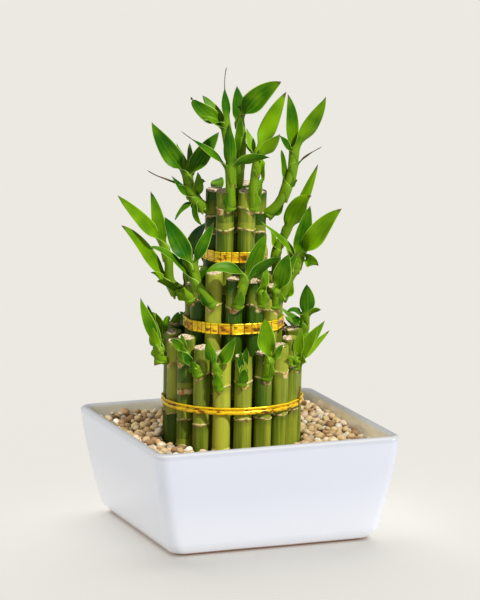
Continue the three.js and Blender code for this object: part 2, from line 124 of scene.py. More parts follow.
class Sheet:
    """A node tree that is being written."""

    def __init__(self, tree):
        self.tree = tree

    def feed(self, socket, value):
        """Links a value to a socket, or sets a plain number or colour on it."""
        if isinstance(value, Value):
            self.tree.links.new(value.socket, socket)
        else:
            socket.default_value = value

    def node(self, kind, sockets=None, out=0, **settings):
        """Adds a node and gives back one of its outputs."""
        made = self.tree.nodes.new(kind)
        for name, setting in settings.items():
            setattr(made, name, setting)
        for name, value in (sockets or {}).items():
            self.feed(made.inputs[name], value)
        return Value(self, made.outputs[out])

    def maths(self, operation, first, second=0.0):
        return self.node("ShaderNodeMath", {0: first, 1: second}, operation=operation)

    def smooth(self, value, low, high):
        """0 below low, 1 above high, and an even rise between them."""
        ends = {"Value": value, "From Min": low, "From Max": high}
        return self.node("ShaderNodeMapRange", ends, interpolation_type="SMOOTHSTEP")

    def cloud(self, where, scale, detail=2.0):
        """Soft noise between about 0 and 1."""
        return self.node("ShaderNodeTexNoise", {"Vector": where, "Scale": scale, "Detail": detail})

    def scaled(self, vector, amount):
        """A vector made longer or shorter."""
        return self.node("ShaderNodeVectorMath", {0: vector, "Scale": amount}, operation="SCALE")

    def moved(self, geometry, offset):
        """Geometry with each of its points moved."""
        return self.node("GeometryNodeSetPosition", {"Geometry": geometry, "Offset": offset})


def paint(red, green, blue):
    """A colour read off as 0 to 255, as the shader wants it."""
    shares = [c / 255 for c in (red, green, blue)]
    return (*[s / 12.92 if s <= 0.04 else ((s + 0.055) / 1.055) ** 2.4 for s in shares], 1.0)


class Finish(Sheet):
    """A material whose Principled shader takes its sockets by name."""

    def __init__(self, name):
        self.material = bpy.data.materials.new(name)
        self.material.use_nodes = True
        super().__init__(self.material.node_tree)
        self.shader = next(n for n in self.tree.nodes if n.type == "BSDF_PRINCIPLED")

    def place(self):
        """Where a point is on the object."""
        return self.node("ShaderNodeTexCoord", out=3)

    def uv(self):
        """Where a point is on its piece's own flat map."""
        return self.node("ShaderNodeTexCoord", out=2)

    def share_of(self, vector, axis):
        """One of a vector's three numbers."""
        return self.node("ShaderNodeSeparateXYZ", {0: vector}, out=axis)

    def stretched(self, where, scale):
        """The same place, with its three directions scaled."""
        return self.node("ShaderNodeMapping", {"Vector": where, "Scale": scale})

    def attribute(self, name):
        """A number that the mesh carries at each point."""
        return self.node("ShaderNodeAttribute", out=2, attribute_name=name)

    def mix(self, share, first, second):
        """One colour going over into another."""
        return self.node("ShaderNodeMix", {0: share, 6: first, 7: second}, out=2, data_type="RGBA")

    def coat(self, color, *coats):
        """A colour with others laid over it one by one, each given with its mask."""
        for share, over in coats:
            color = self.mix(share, color, over)
        return color

    def set(self, **sockets):
        """Feeds the shader's sockets."""
        for name, value in sockets.items():
            self.feed(self.shader.inputs[name.replace("_", " ")], value)

    def bump(self, height, distance, strength):
        """Relief from a height, in metres at full strength."""
        relief = {"Height": height, "Distance": distance, "Strength": strength}
        self.set(Normal=self.node("ShaderNodeBump", relief))


print("paint(255, 255, 255) is", paint(255, 255, 255))

# %% [markdown]
# The light is a plain pale studio: a low even glow from all sides, and suns for all that needs a direction.
# The suns come in the last step, because each lights only some of the pieces. The floor is one wide pale
# plane that isn't part of the object.

# %% Glow and floor
GLOW = 0.35
FLOOR_HALF = 30
FLOOR_COLOR = paint(243, 240, 232)
FLOOR_GRAIN = paint(230, 227, 219)
FLOOR_LIGHT = 0.21


def add_glow():
    """The even light of the room."""
    world = bpy.data.worlds.new("room")
    bpy.context.scene.world = world
    world.use_nodes = True
    glow = next(n for n in world.node_tree.nodes if n.type == "BACKGROUND")
    glow.inputs["Color"].default_value = (1.0, 1.0, 1.0, 1.0)
    glow.inputs["Strength"].default_value = GLOW


def floor_finish():
    """Matt pale card with the faintest grain."""
    finish = Finish("floor_card")
    grain = finish.cloud(finish.place(), 40.0)
    finish.set(Base_Color=finish.mix(grain * 0.04, FLOOR_COLOR, FLOOR_GRAIN), Roughness=0.9)
    finish.set(Specular_IOR_Level=0.1, Emission_Color=FLOOR_COLOR, Emission_Strength=FLOOR_LIGHT)
    return finish.material


def add_floor():
    """The plane that the pot stands on."""
    corners = [(x * FLOOR_HALF, y * FLOOR_HALF, 0) for x, y in ((-1, -1), (1, -1), (1, 1), (-1, 1))]
    mesh = bpy.data.meshes.new("floor")
    mesh.from_pydata(corners, [], [(0, 1, 2, 3)])
    mesh.materials.append(floor_finish())
    floor = bpy.data.objects.new("floor", mesh)
    bpy.context.scene.collection.objects.link(floor)
    return floor


add_glow()
FLOOR = add_floor()
bpy.context.scene.view_settings.view_transform = "Standard"
print("an even glow and a floor", 2 * FLOOR_HALF, "metres wide")

# %% [markdown]
# Several pieces are skins drawn over a row of rings, as a potter's wall is. The helper below joins ring to
# ring with four-sided faces, closes both ends, and can carry numbers for the shader at each point.

# %% Rings and skins
def store(mesh, name, values):
    """Gives each point of a mesh a number that shaders and trees can read."""
    mesh.attributes.new(name, "FLOAT", "POINT").data.foreach_set("value", values)


class Skin:
    """A mesh that grows ring by ring, with numbers at its points."""

    def __init__(self):
        self.points = []
        self.faces = []
        self.marks = {}
        self.flat = []

    def add_rings(self, rings, joined=False):
        """Skin over rings with equal counts. A last ring of one point closes to a tip."""
        first = len(self.points)
        count = len(rings[0])
        for ring in rings:
            self.points.extend(ring)
        spans = len(rings) if joined else len(rings) - 1
        for i in range(spans):
            above = (i + 1) % len(rings)
            low = first + i * count
            high = first + above * count
            for k in range(count):
                following = (k + 1) % count
                if len(rings[above]) == 1:
                    self.faces.append((low + k, low + following, high))
                else:
                    self.faces.append((low + k, low + following, high + following, high + k))
        if not joined:
            self.faces.append(tuple(range(first + count - 1, first - 1, -1)))
            if len(rings[-1]) > 1:
                last = first + (len(rings) - 1) * count
                self.faces.append(tuple(range(last, last + count)))

    def mark(self, count, **numbers):
        """Gives each of the next points the same numbers."""
        for name, number in numbers.items():
            self.marks.setdefault(name, []).extend([number] * count)

    def mesh(self, name):
        """The finished mesh, with its numbers as attributes and smooth faces."""
        made = bpy.data.meshes.new(name)
        made.from_pydata(self.points, [], self.faces)
        for label, values in self.marks.items():
            store(made, label, values)
        if self.flat:
            layer = made.uv_layers.new(name="UVMap")
            for loop in made.loops:
                layer.data[loop.index].uv = self.flat[loop.vertex_index]
        made.shade_smooth()
        made.update()
        return made


def show(name, mesh, slot, *nodes):
    """Puts a finished mesh in the scene as a piece of the object."""
    piece = bpy.data.objects.new(name, mesh)
    bpy.context.scene.collection.objects.link(piece)
    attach(piece, "root")
    if nodes:
        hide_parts(*nodes)
    return piece


def even(low, high, count):
    """Numbers from low to high, evenly spaced."""
    return [low + (high - low) * i / (count - 1) for i in range(count)]


def between(low, high, share):
    return low + (high - low) * share


def ease(value, low, high):
    """0 below low and 1 above high, with an even rise."""
    share = min(max((value - low) / (high - low), 0.0), 1.0)
    return share * share * (3 - 2 * share)


def bell(gap, width):
    """1 at a gap of 0, and less the wider the gap is."""
    return math.exp(-((gap / width) ** 2))


print("even(0, 1, 5) is", even(0, 1, 5))

# %% [markdown]
# The pot is slip cast: one wall that flares from a small foot, ever more steeply near the rim, with soft
# corners and a rounded lip. It could be a cube with bevels, but a skin over square rings follows the flare
# exactly, and the wall can swell and sink by a hair, which makes the glaze's reflections live.

# %% Pot shape
_, pot_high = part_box("pot")
RIM_HALF = pot_high[0]
POT_HEIGHT = pot_high[2]
BASE_INSET = 11.8 * MM
FLARE = 1.35
WALL = 5 * MM
FLOOR_TOP = 9 * MM
RIM_CORNER = 8 * MM
INNER_CORNER = 6 * MM
LIP_TALL = 2.4 * MM
FOOT_INSET = 4.5 * MM
FOOT_RISE = 9 * MM
FOOT_WIDTH = 5 * MM
RECESS = 1.2 * MM
CORNER_STEPS = 10
SIDE_STEPS = 16
SWELL = 0.25 * MM
SWELL_SCALE = 18


def pot_half(z):
    """Half the pot's outside width at a height."""
    return RIM_HALF - BASE_INSET * (1 - z / POT_HEIGHT) ** FLARE


def square_ring(half, corner, z):
    """A square ring with round corners, with points along its sides as well."""
    reach = half - corner
    ring = []
    for quarter in range(4):
        around = Matrix.Rotation(quarter * math.pi / 2, 3, "Z")
        for step in range(CORNER_STEPS + 1):
            angle = step / CORNER_STEPS * math.pi / 2
            rounded = (reach + corner * math.cos(angle), reach + corner * math.sin(angle), z)
            ring.append(around @ Vector(rounded))
        for step in range(1, SIDE_STEPS):
            ring.append(around @ Vector((reach * (1 - 2 * step / SIDE_STEPS), half, z)))
    return ring


def lip_ring(angle):
    """A ring of the rounded lip, from its outside at 0 over its top to its inside."""
    half = RIM_HALF - WALL / 2 * (1 - math.cos(angle))
    corner = RIM_CORNER - (RIM_HALF - half) * 0.4
    return square_ring(half, corner, POT_HEIGHT - LIP_TALL * (1 - math.sin(angle)))


def outer_rings():
    """From the recess under the foot, up the outside and over the lip."""
    foot = pot_half(0) - FOOT_INSET
    ring_inside = foot - FOOT_WIDTH
    sole = [
        (ring_inside, RECESS),
        (ring_inside + 0.7 * RECESS, 0.3 * RECESS),
        (ring_inside + 1.2 * RECESS, 0),
        (foot - 0.8 * MM, 0),
        (foot, 0.5 * MM),
    ]
    rings = [square_ring(half, RIM_CORNER, z) for half, z in sole]
    for share in even(0.12, 1, 9):
        z = FOOT_RISE * share
        rings.append(square_ring(pot_half(z) - FOOT_INSET * (1 - share) ** 2, RIM_CORNER, z))
    for z in even(11 * MM, POT_HEIGHT - 3 * MM, 20):
        rings.append(square_ring(pot_half(z), RIM_CORNER, z))
    rings.extend(lip_ring(math.radians(angle)) for angle in even(8, 172, 12))
    return rings


def inner_rings():
    """From under the lip down the inside to the pot's floor."""
    rings = []
    for z in even(POT_HEIGHT - 4 * MM, FLOOR_TOP + 6 * MM, 16):
        rings.append(square_ring(pot_half(z) - WALL, INNER_CORNER, z))
    rings.append(square_ring(pot_half(FLOOR_TOP) - WALL - 3 * MM, INNER_CORNER, FLOOR_TOP))
    return rings


def uneven(point):
    """A slow swell of the clay, less than the hand would feel."""
    return point + Vector((1, 1, 0)) * (noise.noise(point * SWELL_SCALE) * SWELL)


def pot_mesh():
    outside = outer_rings()
    inside = inner_rings()
    skin = Skin()
    skin.add_rings([[uneven(point) for point in ring] for ring in outside + inside])
    turned_in = 4
    skin.mark(len(outside[0]) * (len(outside) - turned_in), inside=0.0)
    skin.mark(len(outside[0]) * (len(inside) + turned_in), inside=1.0)
    return skin.mesh("pot_glazed")


# %% [markdown]
# The glaze is thick, white and glossy with a cold lavender tone. It is painted whiter on top of the lip as a
# highlight, a little greyer just under the lip as shade, lighter towards the foot as light, and warm inside
# as light bounced off the stones and the plant.
# Under the foot the bare clay shows as a brown line. The height alone tells glaze from clay, so
# one mask does it, and a very low bump keeps the shine from looking like plastic.

# %% Glaze
GLAZE_WHITE = paint(228, 232, 246)
GLAZE_COOL = paint(222, 226, 240)
GLAZE_PAINTED_LIGHT_LOW = paint(243, 246, 255)
GLAZE_UNDER_LIP_SHADE = paint(200, 203, 216)
GLAZE_LIP_HIGHLIGHT = paint(248, 249, 252)
GLAZE_INSIDE_BOUNCE_LIGHT = paint(255, 250, 232)
CLAY = paint(178, 140, 120)
CLAY_DARK = paint(120, 84, 60)
CLAY_LINE = 1.9 * MM


def glaze_finish():
    """White glaze with painted light and shade down to the clay line, and bare clay under it."""
    finish = Finish("glaze")
    place = finish.place()
    height = finish.share_of(place, 2)
    drift = finish.cloud(place, 14.0)
    speck = finish.cloud(place, 900.0, 3.0)
    glazed = finish.smooth(height + (drift - 0.5) * 0.0012, CLAY_LINE * 0.75, CLAY_LINE * 1.25)
    # painted highlight on top of the lip
    lip = finish.smooth(height, POT_HEIGHT - 1.9 * MM, POT_HEIGHT - 1.0 * MM)
    # painted shade: a greyer band just under the lip
    under = finish.smooth(height, POT_HEIGHT - 4.5 * MM, POT_HEIGHT - 2.8 * MM) * (1 - lip)
    # painted light: the glaze gets lighter towards the foot
    painted_light_low = 1 - finish.smooth(height, 4 * MM, 48 * MM)
    white = finish.coat(
        GLAZE_WHITE,
        (drift * 0.35, GLAZE_COOL),
        (painted_light_low, GLAZE_PAINTED_LIGHT_LOW),
        (under * 0.4, GLAZE_UNDER_LIP_SHADE),
        # painted bounce light: a warm tint on the inside for light thrown off the stones and the plant
        (finish.attribute("inside"), GLAZE_INSIDE_BOUNCE_LIGHT),
        (lip, GLAZE_LIP_HIGHLIGHT),
    )
    finish.set(Base_Color=finish.mix(glazed, finish.mix(speck, CLAY, CLAY_DARK), white))
    finish.set(Roughness=0.85 - glazed * (0.73 - drift * 0.06))
    finish.set(Coat_Weight=glazed * 0.6, Coat_Roughness=0.04, Specular_IOR_Level=0.5)
    finish.bump(speck * (1 - glazed) + drift * 0.6, 0.15 * MM, 0.3)
    return finish.material


glaze_mesh = pot_mesh()
glaze_mesh.materials.append(glaze_finish())
POT = show("pot_glazed", glaze_mesh, "glaze", "pot")
print("the pot has", len(glaze_mesh.polygons), "faces")

# %% [markdown]
# Geometry Nodes need a tree with named inputs, a modifier that runs it, and a way to keep the result.
# The helpers below make the first two and then turn what the modifier shows into a plain mesh, because a
# finished piece carries no live tree.

# %% Trees that grow geometry
def new_tree(name, inputs):
    """An empty geometry tree. Its inputs are given with their first values."""
    tree = bpy.data.node_groups.new(name, "GeometryNodeTree")
    for way in ("INPUT", "OUTPUT"):
        tree.interface.new_socket(name="Geometry", in_out=way, socket_type="NodeSocketGeometry")
    for label, first in inputs.items():
        kind = "NodeSocketInt" if isinstance(first, int) else "NodeSocketFloat"
        tree.interface.new_socket(name=label, in_out="INPUT", socket_type=kind).default_value = first
    sheet = Sheet(tree)
    entry = tree.nodes.new("NodeGroupInput")
    given = {socket.name: Value(sheet, socket) for socket in entry.outputs if socket.name}
    return sheet, given


def end_tree(sheet, geometry, material):
    """The last nodes of every tree: real copies, a material, and the way out."""
    real = sheet.node("GeometryNodeRealizeInstances", {"Geometry": geometry})
    dressed = sheet.node("GeometryNodeSetMaterial", {"Geometry": real, "Material": material})
    leave = sheet.tree.nodes.new("NodeGroupOutput")
    sheet.feed(leave.inputs[0], dressed)
    return sheet.tree


def grow(name, mesh, tree, settings):
    """Runs a tree on a mesh and gives back the result as a plain mesh."""
    holder = bpy.data.objects.new(name, mesh)
    bpy.context.scene.collection.objects.link(holder)
    modifier = holder.modifiers.new("grow", "NODES")
    modifier.node_group = tree
    for socket in tree.interface.items_tree:
        if socket.in_out == "INPUT" and socket.name in settings:
            modifier[socket.identifier] = settings[socket.name]
    graph = bpy.context.evaluated_depsgraph_get()
    grown = bpy.data.meshes.new_from_object(holder.evaluated_get(graph))
    grown.name = name
    holder.modifiers.remove(modifier)
    bpy.data.objects.remove(holder)
    grown.shade_smooth()
    return grown


# %% [markdown]
# The pebbles are a loose fill of tumbled river stones, 5 to 8 mm long: beige, tan and cream, with some white,
# pink and brown ones. They could be dropped by a simulation, but a scatter with a least distance looks
# as dense, takes a second and never changes. Four stone shapes are enough, turned and scaled at random.
# A second, thinner scatter lies on the first, so that the surface isn't a single flat layer.

# %% Pebble bed
BUNDLE_TURN = math.radians(-20)
BUNDLE_AT = Vector((-3, 1.1, 0)) * MM
BUNDLE = Matrix.Translation(BUNDLE_AT) @ Matrix.Rotation(BUNDLE_TURN, 4, "Z")
BUNDLE_REACH = 42.8 * MM
BED_TOP = 56.5 * MM
BED_NEAR = 0.6 * MM
BED_TURNS = 96
BED_FALL = (-3.4, 2.0)
CORNER_REACH = 1.32
GROUND_RINGS = 5


def bed_ring(share, z, margin, near):
    """A ring between the bundle, at share 0, and the pot's wall, at share 1."""
    half = pot_half(z) - WALL - margin
    ring = []
    for k in range(BED_TURNS):
        angle = 2 * math.pi * k / BED_TURNS
        way = Vector((math.cos(angle), math.sin(angle), 0))
        inner = BUNDLE_AT + way * (BUNDLE_REACH + near)
        outer = way * min(half / max(abs(way.x), abs(way.y)), half * CORNER_REACH)
        ring.append(inner.lerp(outer, share) + Vector((0, 0, z)))
    return ring


def sloped(ring):
    """A ring of the bed's top. The bed falls towards the near side."""
    points = []
    for point in ring:
        away = -math.sin(BUNDLE_TURN) * point.x + math.cos(BUNDLE_TURN) * point.y
        rise = between(*BED_FALL, ease(away, -60 * MM, 60 * MM))
        points.append(point + Vector((0, 0, rise * MM)))
    return points


def bed_mesh():
    """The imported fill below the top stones: up the pot's wall, over to the bundle and down again."""
    low = FLOOR_TOP + 0.4 * MM
    top = BED_TOP - 1 * MM
    foot = 4.5 * MM
    side = 0.5 * MM
    rings = [bed_ring(1, low, foot, BED_NEAR), bed_ring(1, low + 6 * MM, side, BED_NEAR)]
    rings.extend(sloped(bed_ring(share, top, side, BED_NEAR)) for share in (1, 0.5, 0))
    rings.append(bed_ring(0, low, foot, BED_NEAR))
    skin = Skin()
    skin.add_rings(rings, joined=True)
    return skin.mesh("pebble_bed")


def scatter_ground(z, margin, near):
    """The sloping ground that stones are scattered on."""
    points = []
    faces = []
    for share in even(0, 1, GROUND_RINGS):
        points.extend(sloped(bed_ring(share, z, margin, near)))
    for low in range(0, (GROUND_RINGS - 1) * BED_TURNS, BED_TURNS):
        high = low + BED_TURNS
        for k in range(BED_TURNS):
            following = (k + 1) % BED_TURNS
            faces.append((low + k, high + k, high + following, low + following))
    mesh = bpy.data.meshes.new("scatter_ground")
    mesh.from_pydata(points, [], faces)
    return mesh


# %% Stone scatter
STONE_KINDS = 4
STONE_FLAT = (1.0, 0.84, 0.68)
RANDOM_SOCKETS = {"FLOAT_VECTOR": (0, 1, 0), "FLOAT": (2, 3, 1), "INT": (4, 5, 2)}


def random_value(sheet, kind, low, high, seed):
    """A random value for each point, in the sockets that belong to its kind."""
    first, second, out = RANDOM_SOCKETS[kind]
    ends = {first: low, second: high, "Seed": seed}
    return sheet.node("FunctionNodeRandomValue", ends, out, data_type=kind)


def stone_kind(sheet, number):
    """One tumbled stone, 1 across, as an instance: a ball that noise has worn unevenly."""
    ball = sheet.node("GeometryNodeMeshIcoSphere", {"Radius": 0.5, "Subdivisions": 2})
    here = sheet.node("GeometryNodeInputPosition")
    apart = {0: here, 1: (3.7 * number, 1.3 * number, 9.1)}
    worn = sheet.cloud(sheet.node("ShaderNodeVectorMath", apart, operation="ADD"), 2.3)
    flat = {0: sheet.scaled(here, worn * 1.2 + 0.4), 1: STONE_FLAT}
    place = sheet.node("ShaderNodeVectorMath", flat, operation="MULTIPLY")
    shaped = sheet.node("GeometryNodeSetPosition", {"Geometry": ball, "Position": place})
    return sheet.node("GeometryNodeGeometryToInstance", {0: shaped})


def scatter_tree(material):
    """Stones of a few kinds on a ground, each with its own size, turn, rise and tone."""
    sheet, given = new_tree("scatter_stones", {
        "Least Distance": 0.005, "Smallest": 0.005, "Largest": 0.008, "Rise": 0.002, "Tilt": 0.5, "Seed": 1,
    })
    seed = given["Seed"]
    tilt = given["Tilt"]
    ground = {"Mesh": given["Geometry"], "Distance Min": given["Least Distance"], "Density Max": 200000.0}
    spots = sheet.node(
        "GeometryNodeDistributePointsOnFaces", {**ground, "Seed": seed}, distribute_method="POISSON",
    )
    kinds = sheet.tree.nodes.new("GeometryNodeJoinGeometry")
    for number in range(STONE_KINDS):
        sheet.feed(kinds.inputs[0], stone_kind(sheet, number))
    least = sheet.node("ShaderNodeCombineXYZ", {0: 0.0 - tilt, 1: 0.0 - tilt, 2: 0.0})
    most = sheet.node("ShaderNodeCombineXYZ", {0: tilt, 1: tilt, 2: 2 * math.pi})
    rise = random_value(sheet, "FLOAT", 0.0, given["Rise"], seed + 14)
    stones = sheet.node("GeometryNodeInstanceOnPoints", {
        "Points": sheet.moved(spots, sheet.node("ShaderNodeCombineXYZ", {2: rise})),
        "Instance": Value(sheet, kinds.outputs[0]),
        "Pick Instance": True,
        "Instance Index": random_value(sheet, "INT", 0, STONE_KINDS - 1, seed + 13),
        "Rotation": random_value(sheet, "FLOAT_VECTOR", least, most, seed + 12),
        "Scale": random_value(sheet, "FLOAT", given["Smallest"], given["Largest"], seed + 11),
    })
    tone = random_value(sheet, "FLOAT", 0.0, 1.0, seed + 15)
    toned = sheet.node(
        "GeometryNodeStoreNamedAttribute", {"Geometry": stones, "Name": "tone", "Value": tone},
        data_type="FLOAT", domain="INSTANCE",
    )
    return end_tree(sheet, toned, material)


# %% [markdown]
# Each stone has one tone of its own, which the scatter stores on it, and a ramp turns that number into a
# colour. A fine mottle and a low bump make it stone rather than clay.

# %% Stone
STONE_TONES = {
    0.0: paint(104, 74, 48),
    0.1: paint(176, 140, 96),
    0.28: paint(214, 190, 140),
    0.46: paint(176, 146, 100),
    0.6: paint(226, 208, 172),
    0.72: paint(194, 146, 92),
    0.82: paint(236, 226, 204),
    0.92: paint(160, 150, 132),
    1.0: paint(214, 184, 132),
}
STONE_MOTTLE = paint(120, 96, 70)
STONE_GRAIN = paint(232, 222, 200)
FILL_PALE = paint(84, 64, 42)
FILL_DARK = paint(30, 22, 14)
STONE_FACES = 80

# Height over the bed and space to the pot and to the bundle, in millimetres, and the tree's settings
STONE_LAYERS = {
    "pebbles_under": ((-0.6, 2.6, 2.4), {
        "Least Distance": 0.0041, "Smallest": 0.0046, "Largest": 0.0080, "Rise": 0.0018, "Seed": 21,
    }),
    "pebbles_over": ((1.8, 3.0, 2.8), {
        "Least Distance": 0.0051, "Smallest": 0.0036, "Largest": 0.0068, "Rise": 0.0018, "Seed": 22,
    }),
}


def stone_finish():
    """Dull stone whose tone runs along the ramp."""
    finish = Finish("stone")
    place = finish.place()
    mottle = finish.cloud(place, 700.0, 3.0)
    grain = finish.cloud(place, 2600.0)
    ramp = finish.tree.nodes.new("ShaderNodeValToRGB")
    while len(ramp.color_ramp.elements) < len(STONE_TONES):
        ramp.color_ramp.elements.new(0.5)
    for stop, (share, color) in zip(ramp.color_ramp.elements, STONE_TONES.items()):
        stop.position = share
        stop.color = color
    finish.feed(ramp.inputs[0], finish.attribute("tone"))
    finish.set(Base_Color=finish.coat(
        Value(finish, ramp.outputs[0]),
        (finish.smooth(mottle, 0.45, 0.75) * 0.45, STONE_MOTTLE),
        (finish.smooth(grain, 0.6, 0.75) * 0.3, STONE_GRAIN),
    ))
    finish.set(Roughness=0.7 + mottle * 0.2, Specular_IOR_Level=0.2)
    finish.bump(mottle + grain * 0.3, 0.15 * MM, 0.4)
    return finish.material


def fill_finish():
    """What shows in the gaps between the stones: more stones in their own shadow."""
    finish = Finish("fill")
    cells = finish.node("ShaderNodeTexVoronoi", {"Vector": finish.place(), "Scale": 260.0})
    finish.set(Base_Color=finish.mix(finish.smooth(cells, 0.1, 0.6), FILL_PALE, FILL_DARK), Roughness=0.9)
    finish.bump(1 - cells, 1.5 * MM, 0.6)
    return finish.material


def add_pebbles():
    """The bed and both layers of stones."""
    bed = bed_mesh()
    bed.materials.append(fill_finish())
    made = [show("pebble_bed", bed, "pebble", "pebbles")]
    tree = scatter_tree(stone_finish())
    for name, ((lift, margin, near), settings) in STONE_LAYERS.items():
        ground = scatter_ground(BED_TOP + lift * MM, margin * MM, near * MM)
        stones = grow(name, ground, tree, settings)
        made.append(show(name, stones, "pebble"))
        print(name, "has", len(stones.polygons) // STONE_FACES, "stones")
    return made


STONES = add_pebbles()

# %% [markdown]
# Each cane is a straight cut piece of stem: nearly round, with a thin raised ring at every node, a little
# swelling under it, and a rough pale cut on top. The rings sit unevenly and dip round the bud.
# A cylinder with loops would do for one cane. For 37 of them a tree sweeps a circle along a line that
# carries its own thickness, so one short list of heights per cane makes them all.

# %% Tiers of canes
LEAN = 0.02
LEAN_FREE_HEIGHT = 82
CANE_FOOT = 9.3
CANE_SEED = 7
TIERS = {
    "outer": {
        "ring": 37.4, "radius": 5.4, "first": -170, "low_nodes": [76, 40],
        "tops": [
            120, 122, 121, 126, 123, 120, 124, 119.5, 117,
            115, 116, 119, 121.5, 125, 122, 119, 121, 120,
        ],
        "shoot_at": [
            104, 106, 105, 108, 108, 106.7, 110, 103.7, 96.8,
            99.6, 101.2, 103.3, 104.2, 109, 106, 103, 105, 104,
        ],
    },
    "middle": {
        "ring": 25, "radius": 5.2, "first": -180, "low_nodes": [88, 50],
        "tops": [158, 161, 156, 153, 165, 164, 160.5, 158.5, 147, 152, 157, 160],
        "shoot_at": [145, 147, 144, 144, 146, 145, 144, 144, 140, 143, 145, 146],
    },
    "inner": {
        "ring": 13.2, "radius": 5.5, "first": -150, "low_nodes": [187, 150, 110],
        "tops": [209, 211.7, 212.9, 212.9, 210.5, 214],
        "shoot_at": [193, 196, 203, 203, 198, 192],
    },
}

# Heights of the nodes under the shoot, where they show. The other canes have them near their tier's own.
SEEN_NODES = {
    "outer -90": [75], "outer -70": [75], "outer -50": [57, 73.5, 92], "outer -30": [72], "outer -10": [57],
    "outer 10": [76], "outer 30": [76], "outer 50": [77], "outer 70": [77], "outer 90": [],
    "inner -30": [110, 150, 189.4], "inner 30": [110, 150, 189.6],
}

# How pale each cane is above its lowest node and below it, from deep green at 0 to yellow green at 1
SEEN_TONES = {
    "outer -90": (0.5, 0.3), "outer -70": (0.6, 0.0), "outer -50": (0.35, 0.45), "outer -30": (0.4, 0.4),
    "outer -10": (1.0, 0.8), "outer 10": (0.5, 0.5), "outer 30": (0.3, 0.5), "outer 50": (0.5, 0.5),
    "outer 70": (0.55, 0.55), "outer 90": (0.4, 0.4),
    "middle -90": (0.4, 0.4), "middle -60": (0.05, 0.1), "middle -30": (0.75, 0.6), "middle 0": (0.05, 0.85),
    "middle 30": (0.05, 0.1), "middle 60": (0.65, 0.6), "middle 90": (0.4, 0.4),
    "inner -90": (0.1, 0.1), "inner -30": (0.3, 0.3), "inner 30": (0.4, 0.3), "inner 90": (0.05, 0.05),
    "inner -150": (0.1, 0.1), "inner 150": (0.1, 0.1),
}

# Height of the brown band of an old scar
SCAR_BANDS = {"outer -50": 90.5, "outer -10": 56}


def lean_at(z):
    """How far the bundle leans to the right at a height."""
    return LEAN * (z - LEAN_FREE_HEIGHT)


def bearing(degrees):
    """A direction in plan: 0 faces the front of the bundle, 90 its right."""
    angle = math.radians(degrees)
    return Vector((math.sin(angle), -math.cos(angle), 0))


def into_pot(point):
    """From the bundle's own frame in millimetres to the pot's frame in metres."""
    return BUNDLE @ (point * MM)


def list_canes():
    """Every cane with its name, place, size, nodes and tones."""
    draw = random.Random(CANE_SEED)
    canes = []
    for tier_name, tier in TIERS.items():
        count = len(tier["tops"])
        for index in range(count):
            degrees = tier["first"] + 360 / count * index
            label = f"{tier_name} {degrees:.0f}"
            by_rule = [z + draw.uniform(-2.5, 2.5) for z in tier["low_nodes"]]
            canes.append({
                "name": f"cane_{tier_name}_{index + 1:02d}", "label": label, "tier": tier_name,
                "degrees": degrees, "centre": bearing(degrees) * tier["ring"], "radius": tier["radius"],
                "top": tier["tops"][index], "shoot_at": tier["shoot_at"][index],
                "nodes": SEEN_NODES.get(label, by_rule),
                "tones": SEEN_TONES.get(label, (draw.uniform(0.1, 0.7), draw.uniform(0.1, 0.7))),
            })
    canes.append({
        "name": "cane_heart", "label": "heart", "tier": "inner", "degrees": 0.0, "centre": Vector((0, 0, 0)),
        "radius": 5.2, "top": 210, "shoot_at": 200, "nodes": TIERS["inner"]["low_nodes"], "tones": (0.4, 0.4),
    })
    for cane in canes:
        cane["nodes"] = sorted([*cane["nodes"], cane["shoot_at"]])
    return canes


CANES = list_canes()
print(len(CANES), "canes, the tallest cut at", max(cane["top"] for cane in CANES), "mm")

# %% Sweep along a line
NEAR_NODE = [-5, -3.2, -2, -1.2, -0.7, -0.35, 0, 0.35, 0.7, 1.2, 2.2, 4]
CAP_SHARES = [0.97, 0.8, 0.55, 0.3, 0.08]
PLAIN_STEP = 8
CANE_SIDES = 28

# Ridge, swelling below and pinch above a node: how high, how far above the node, and how wide
NODE_WAVES = [(0.34, 0, 0.45), (0.16, -2.0, 1.8), (-0.1, 1.2, 0.8)]


def cane_heights(cane):
    """Heights of the rings, close together where the cane changes."""
    heights = {CANE_FOOT, cane["top"], cane["top"] - 0.3, cane["top"] - 1.0}
    for z in cane["nodes"]:
        heights.update(z + gap for gap in NEAR_NODE if z + gap < cane["top"] - 1.5)
    z = CANE_FOOT + PLAIN_STEP
    while z < cane["top"] - 3:
        if min(abs(z - other) for other in heights) > 2.5:
            heights.add(z)
        z += PLAIN_STEP
    return sorted(heights)


def cane_radius(cane, z):
    """The cane's radius at a height, with the waves of its nodes."""
    radius = cane["radius"]
    for node in cane["nodes"]:
        for high, above, wide in NODE_WAVES:
            radius += high * bell(z - node - above, wide)
    return radius - (0.35 if z > cane["top"] - 0.1 else 0.0)


def line_mesh(name, points, thicknesses):
    """A bare line whose points carry the thickness of what is swept along it."""
    mesh = bpy.data.meshes.new(name)
    mesh.from_pydata(points, [(i, i + 1) for i in range(len(points) - 1)], [])
    store(mesh, "thick", thicknesses)
    return mesh


def cane_line(cane):
    """The cane's axis from its foot to the middle of its cut top."""
    heights = cane_heights(cane)
    radii = [cane_radius(cane, z) for z in heights]
    for number, share in enumerate(CAP_SHARES):
        heights.append(cane["top"] + 0.02 * (number + 1))
        radii.append(cane["radius"] * share)
    points = [into_pot(cane["centre"] + Vector((lean_at(z), 0, z))) for z in heights]
    return line_mesh(cane["name"], points, [radius * MM for radius in radii])


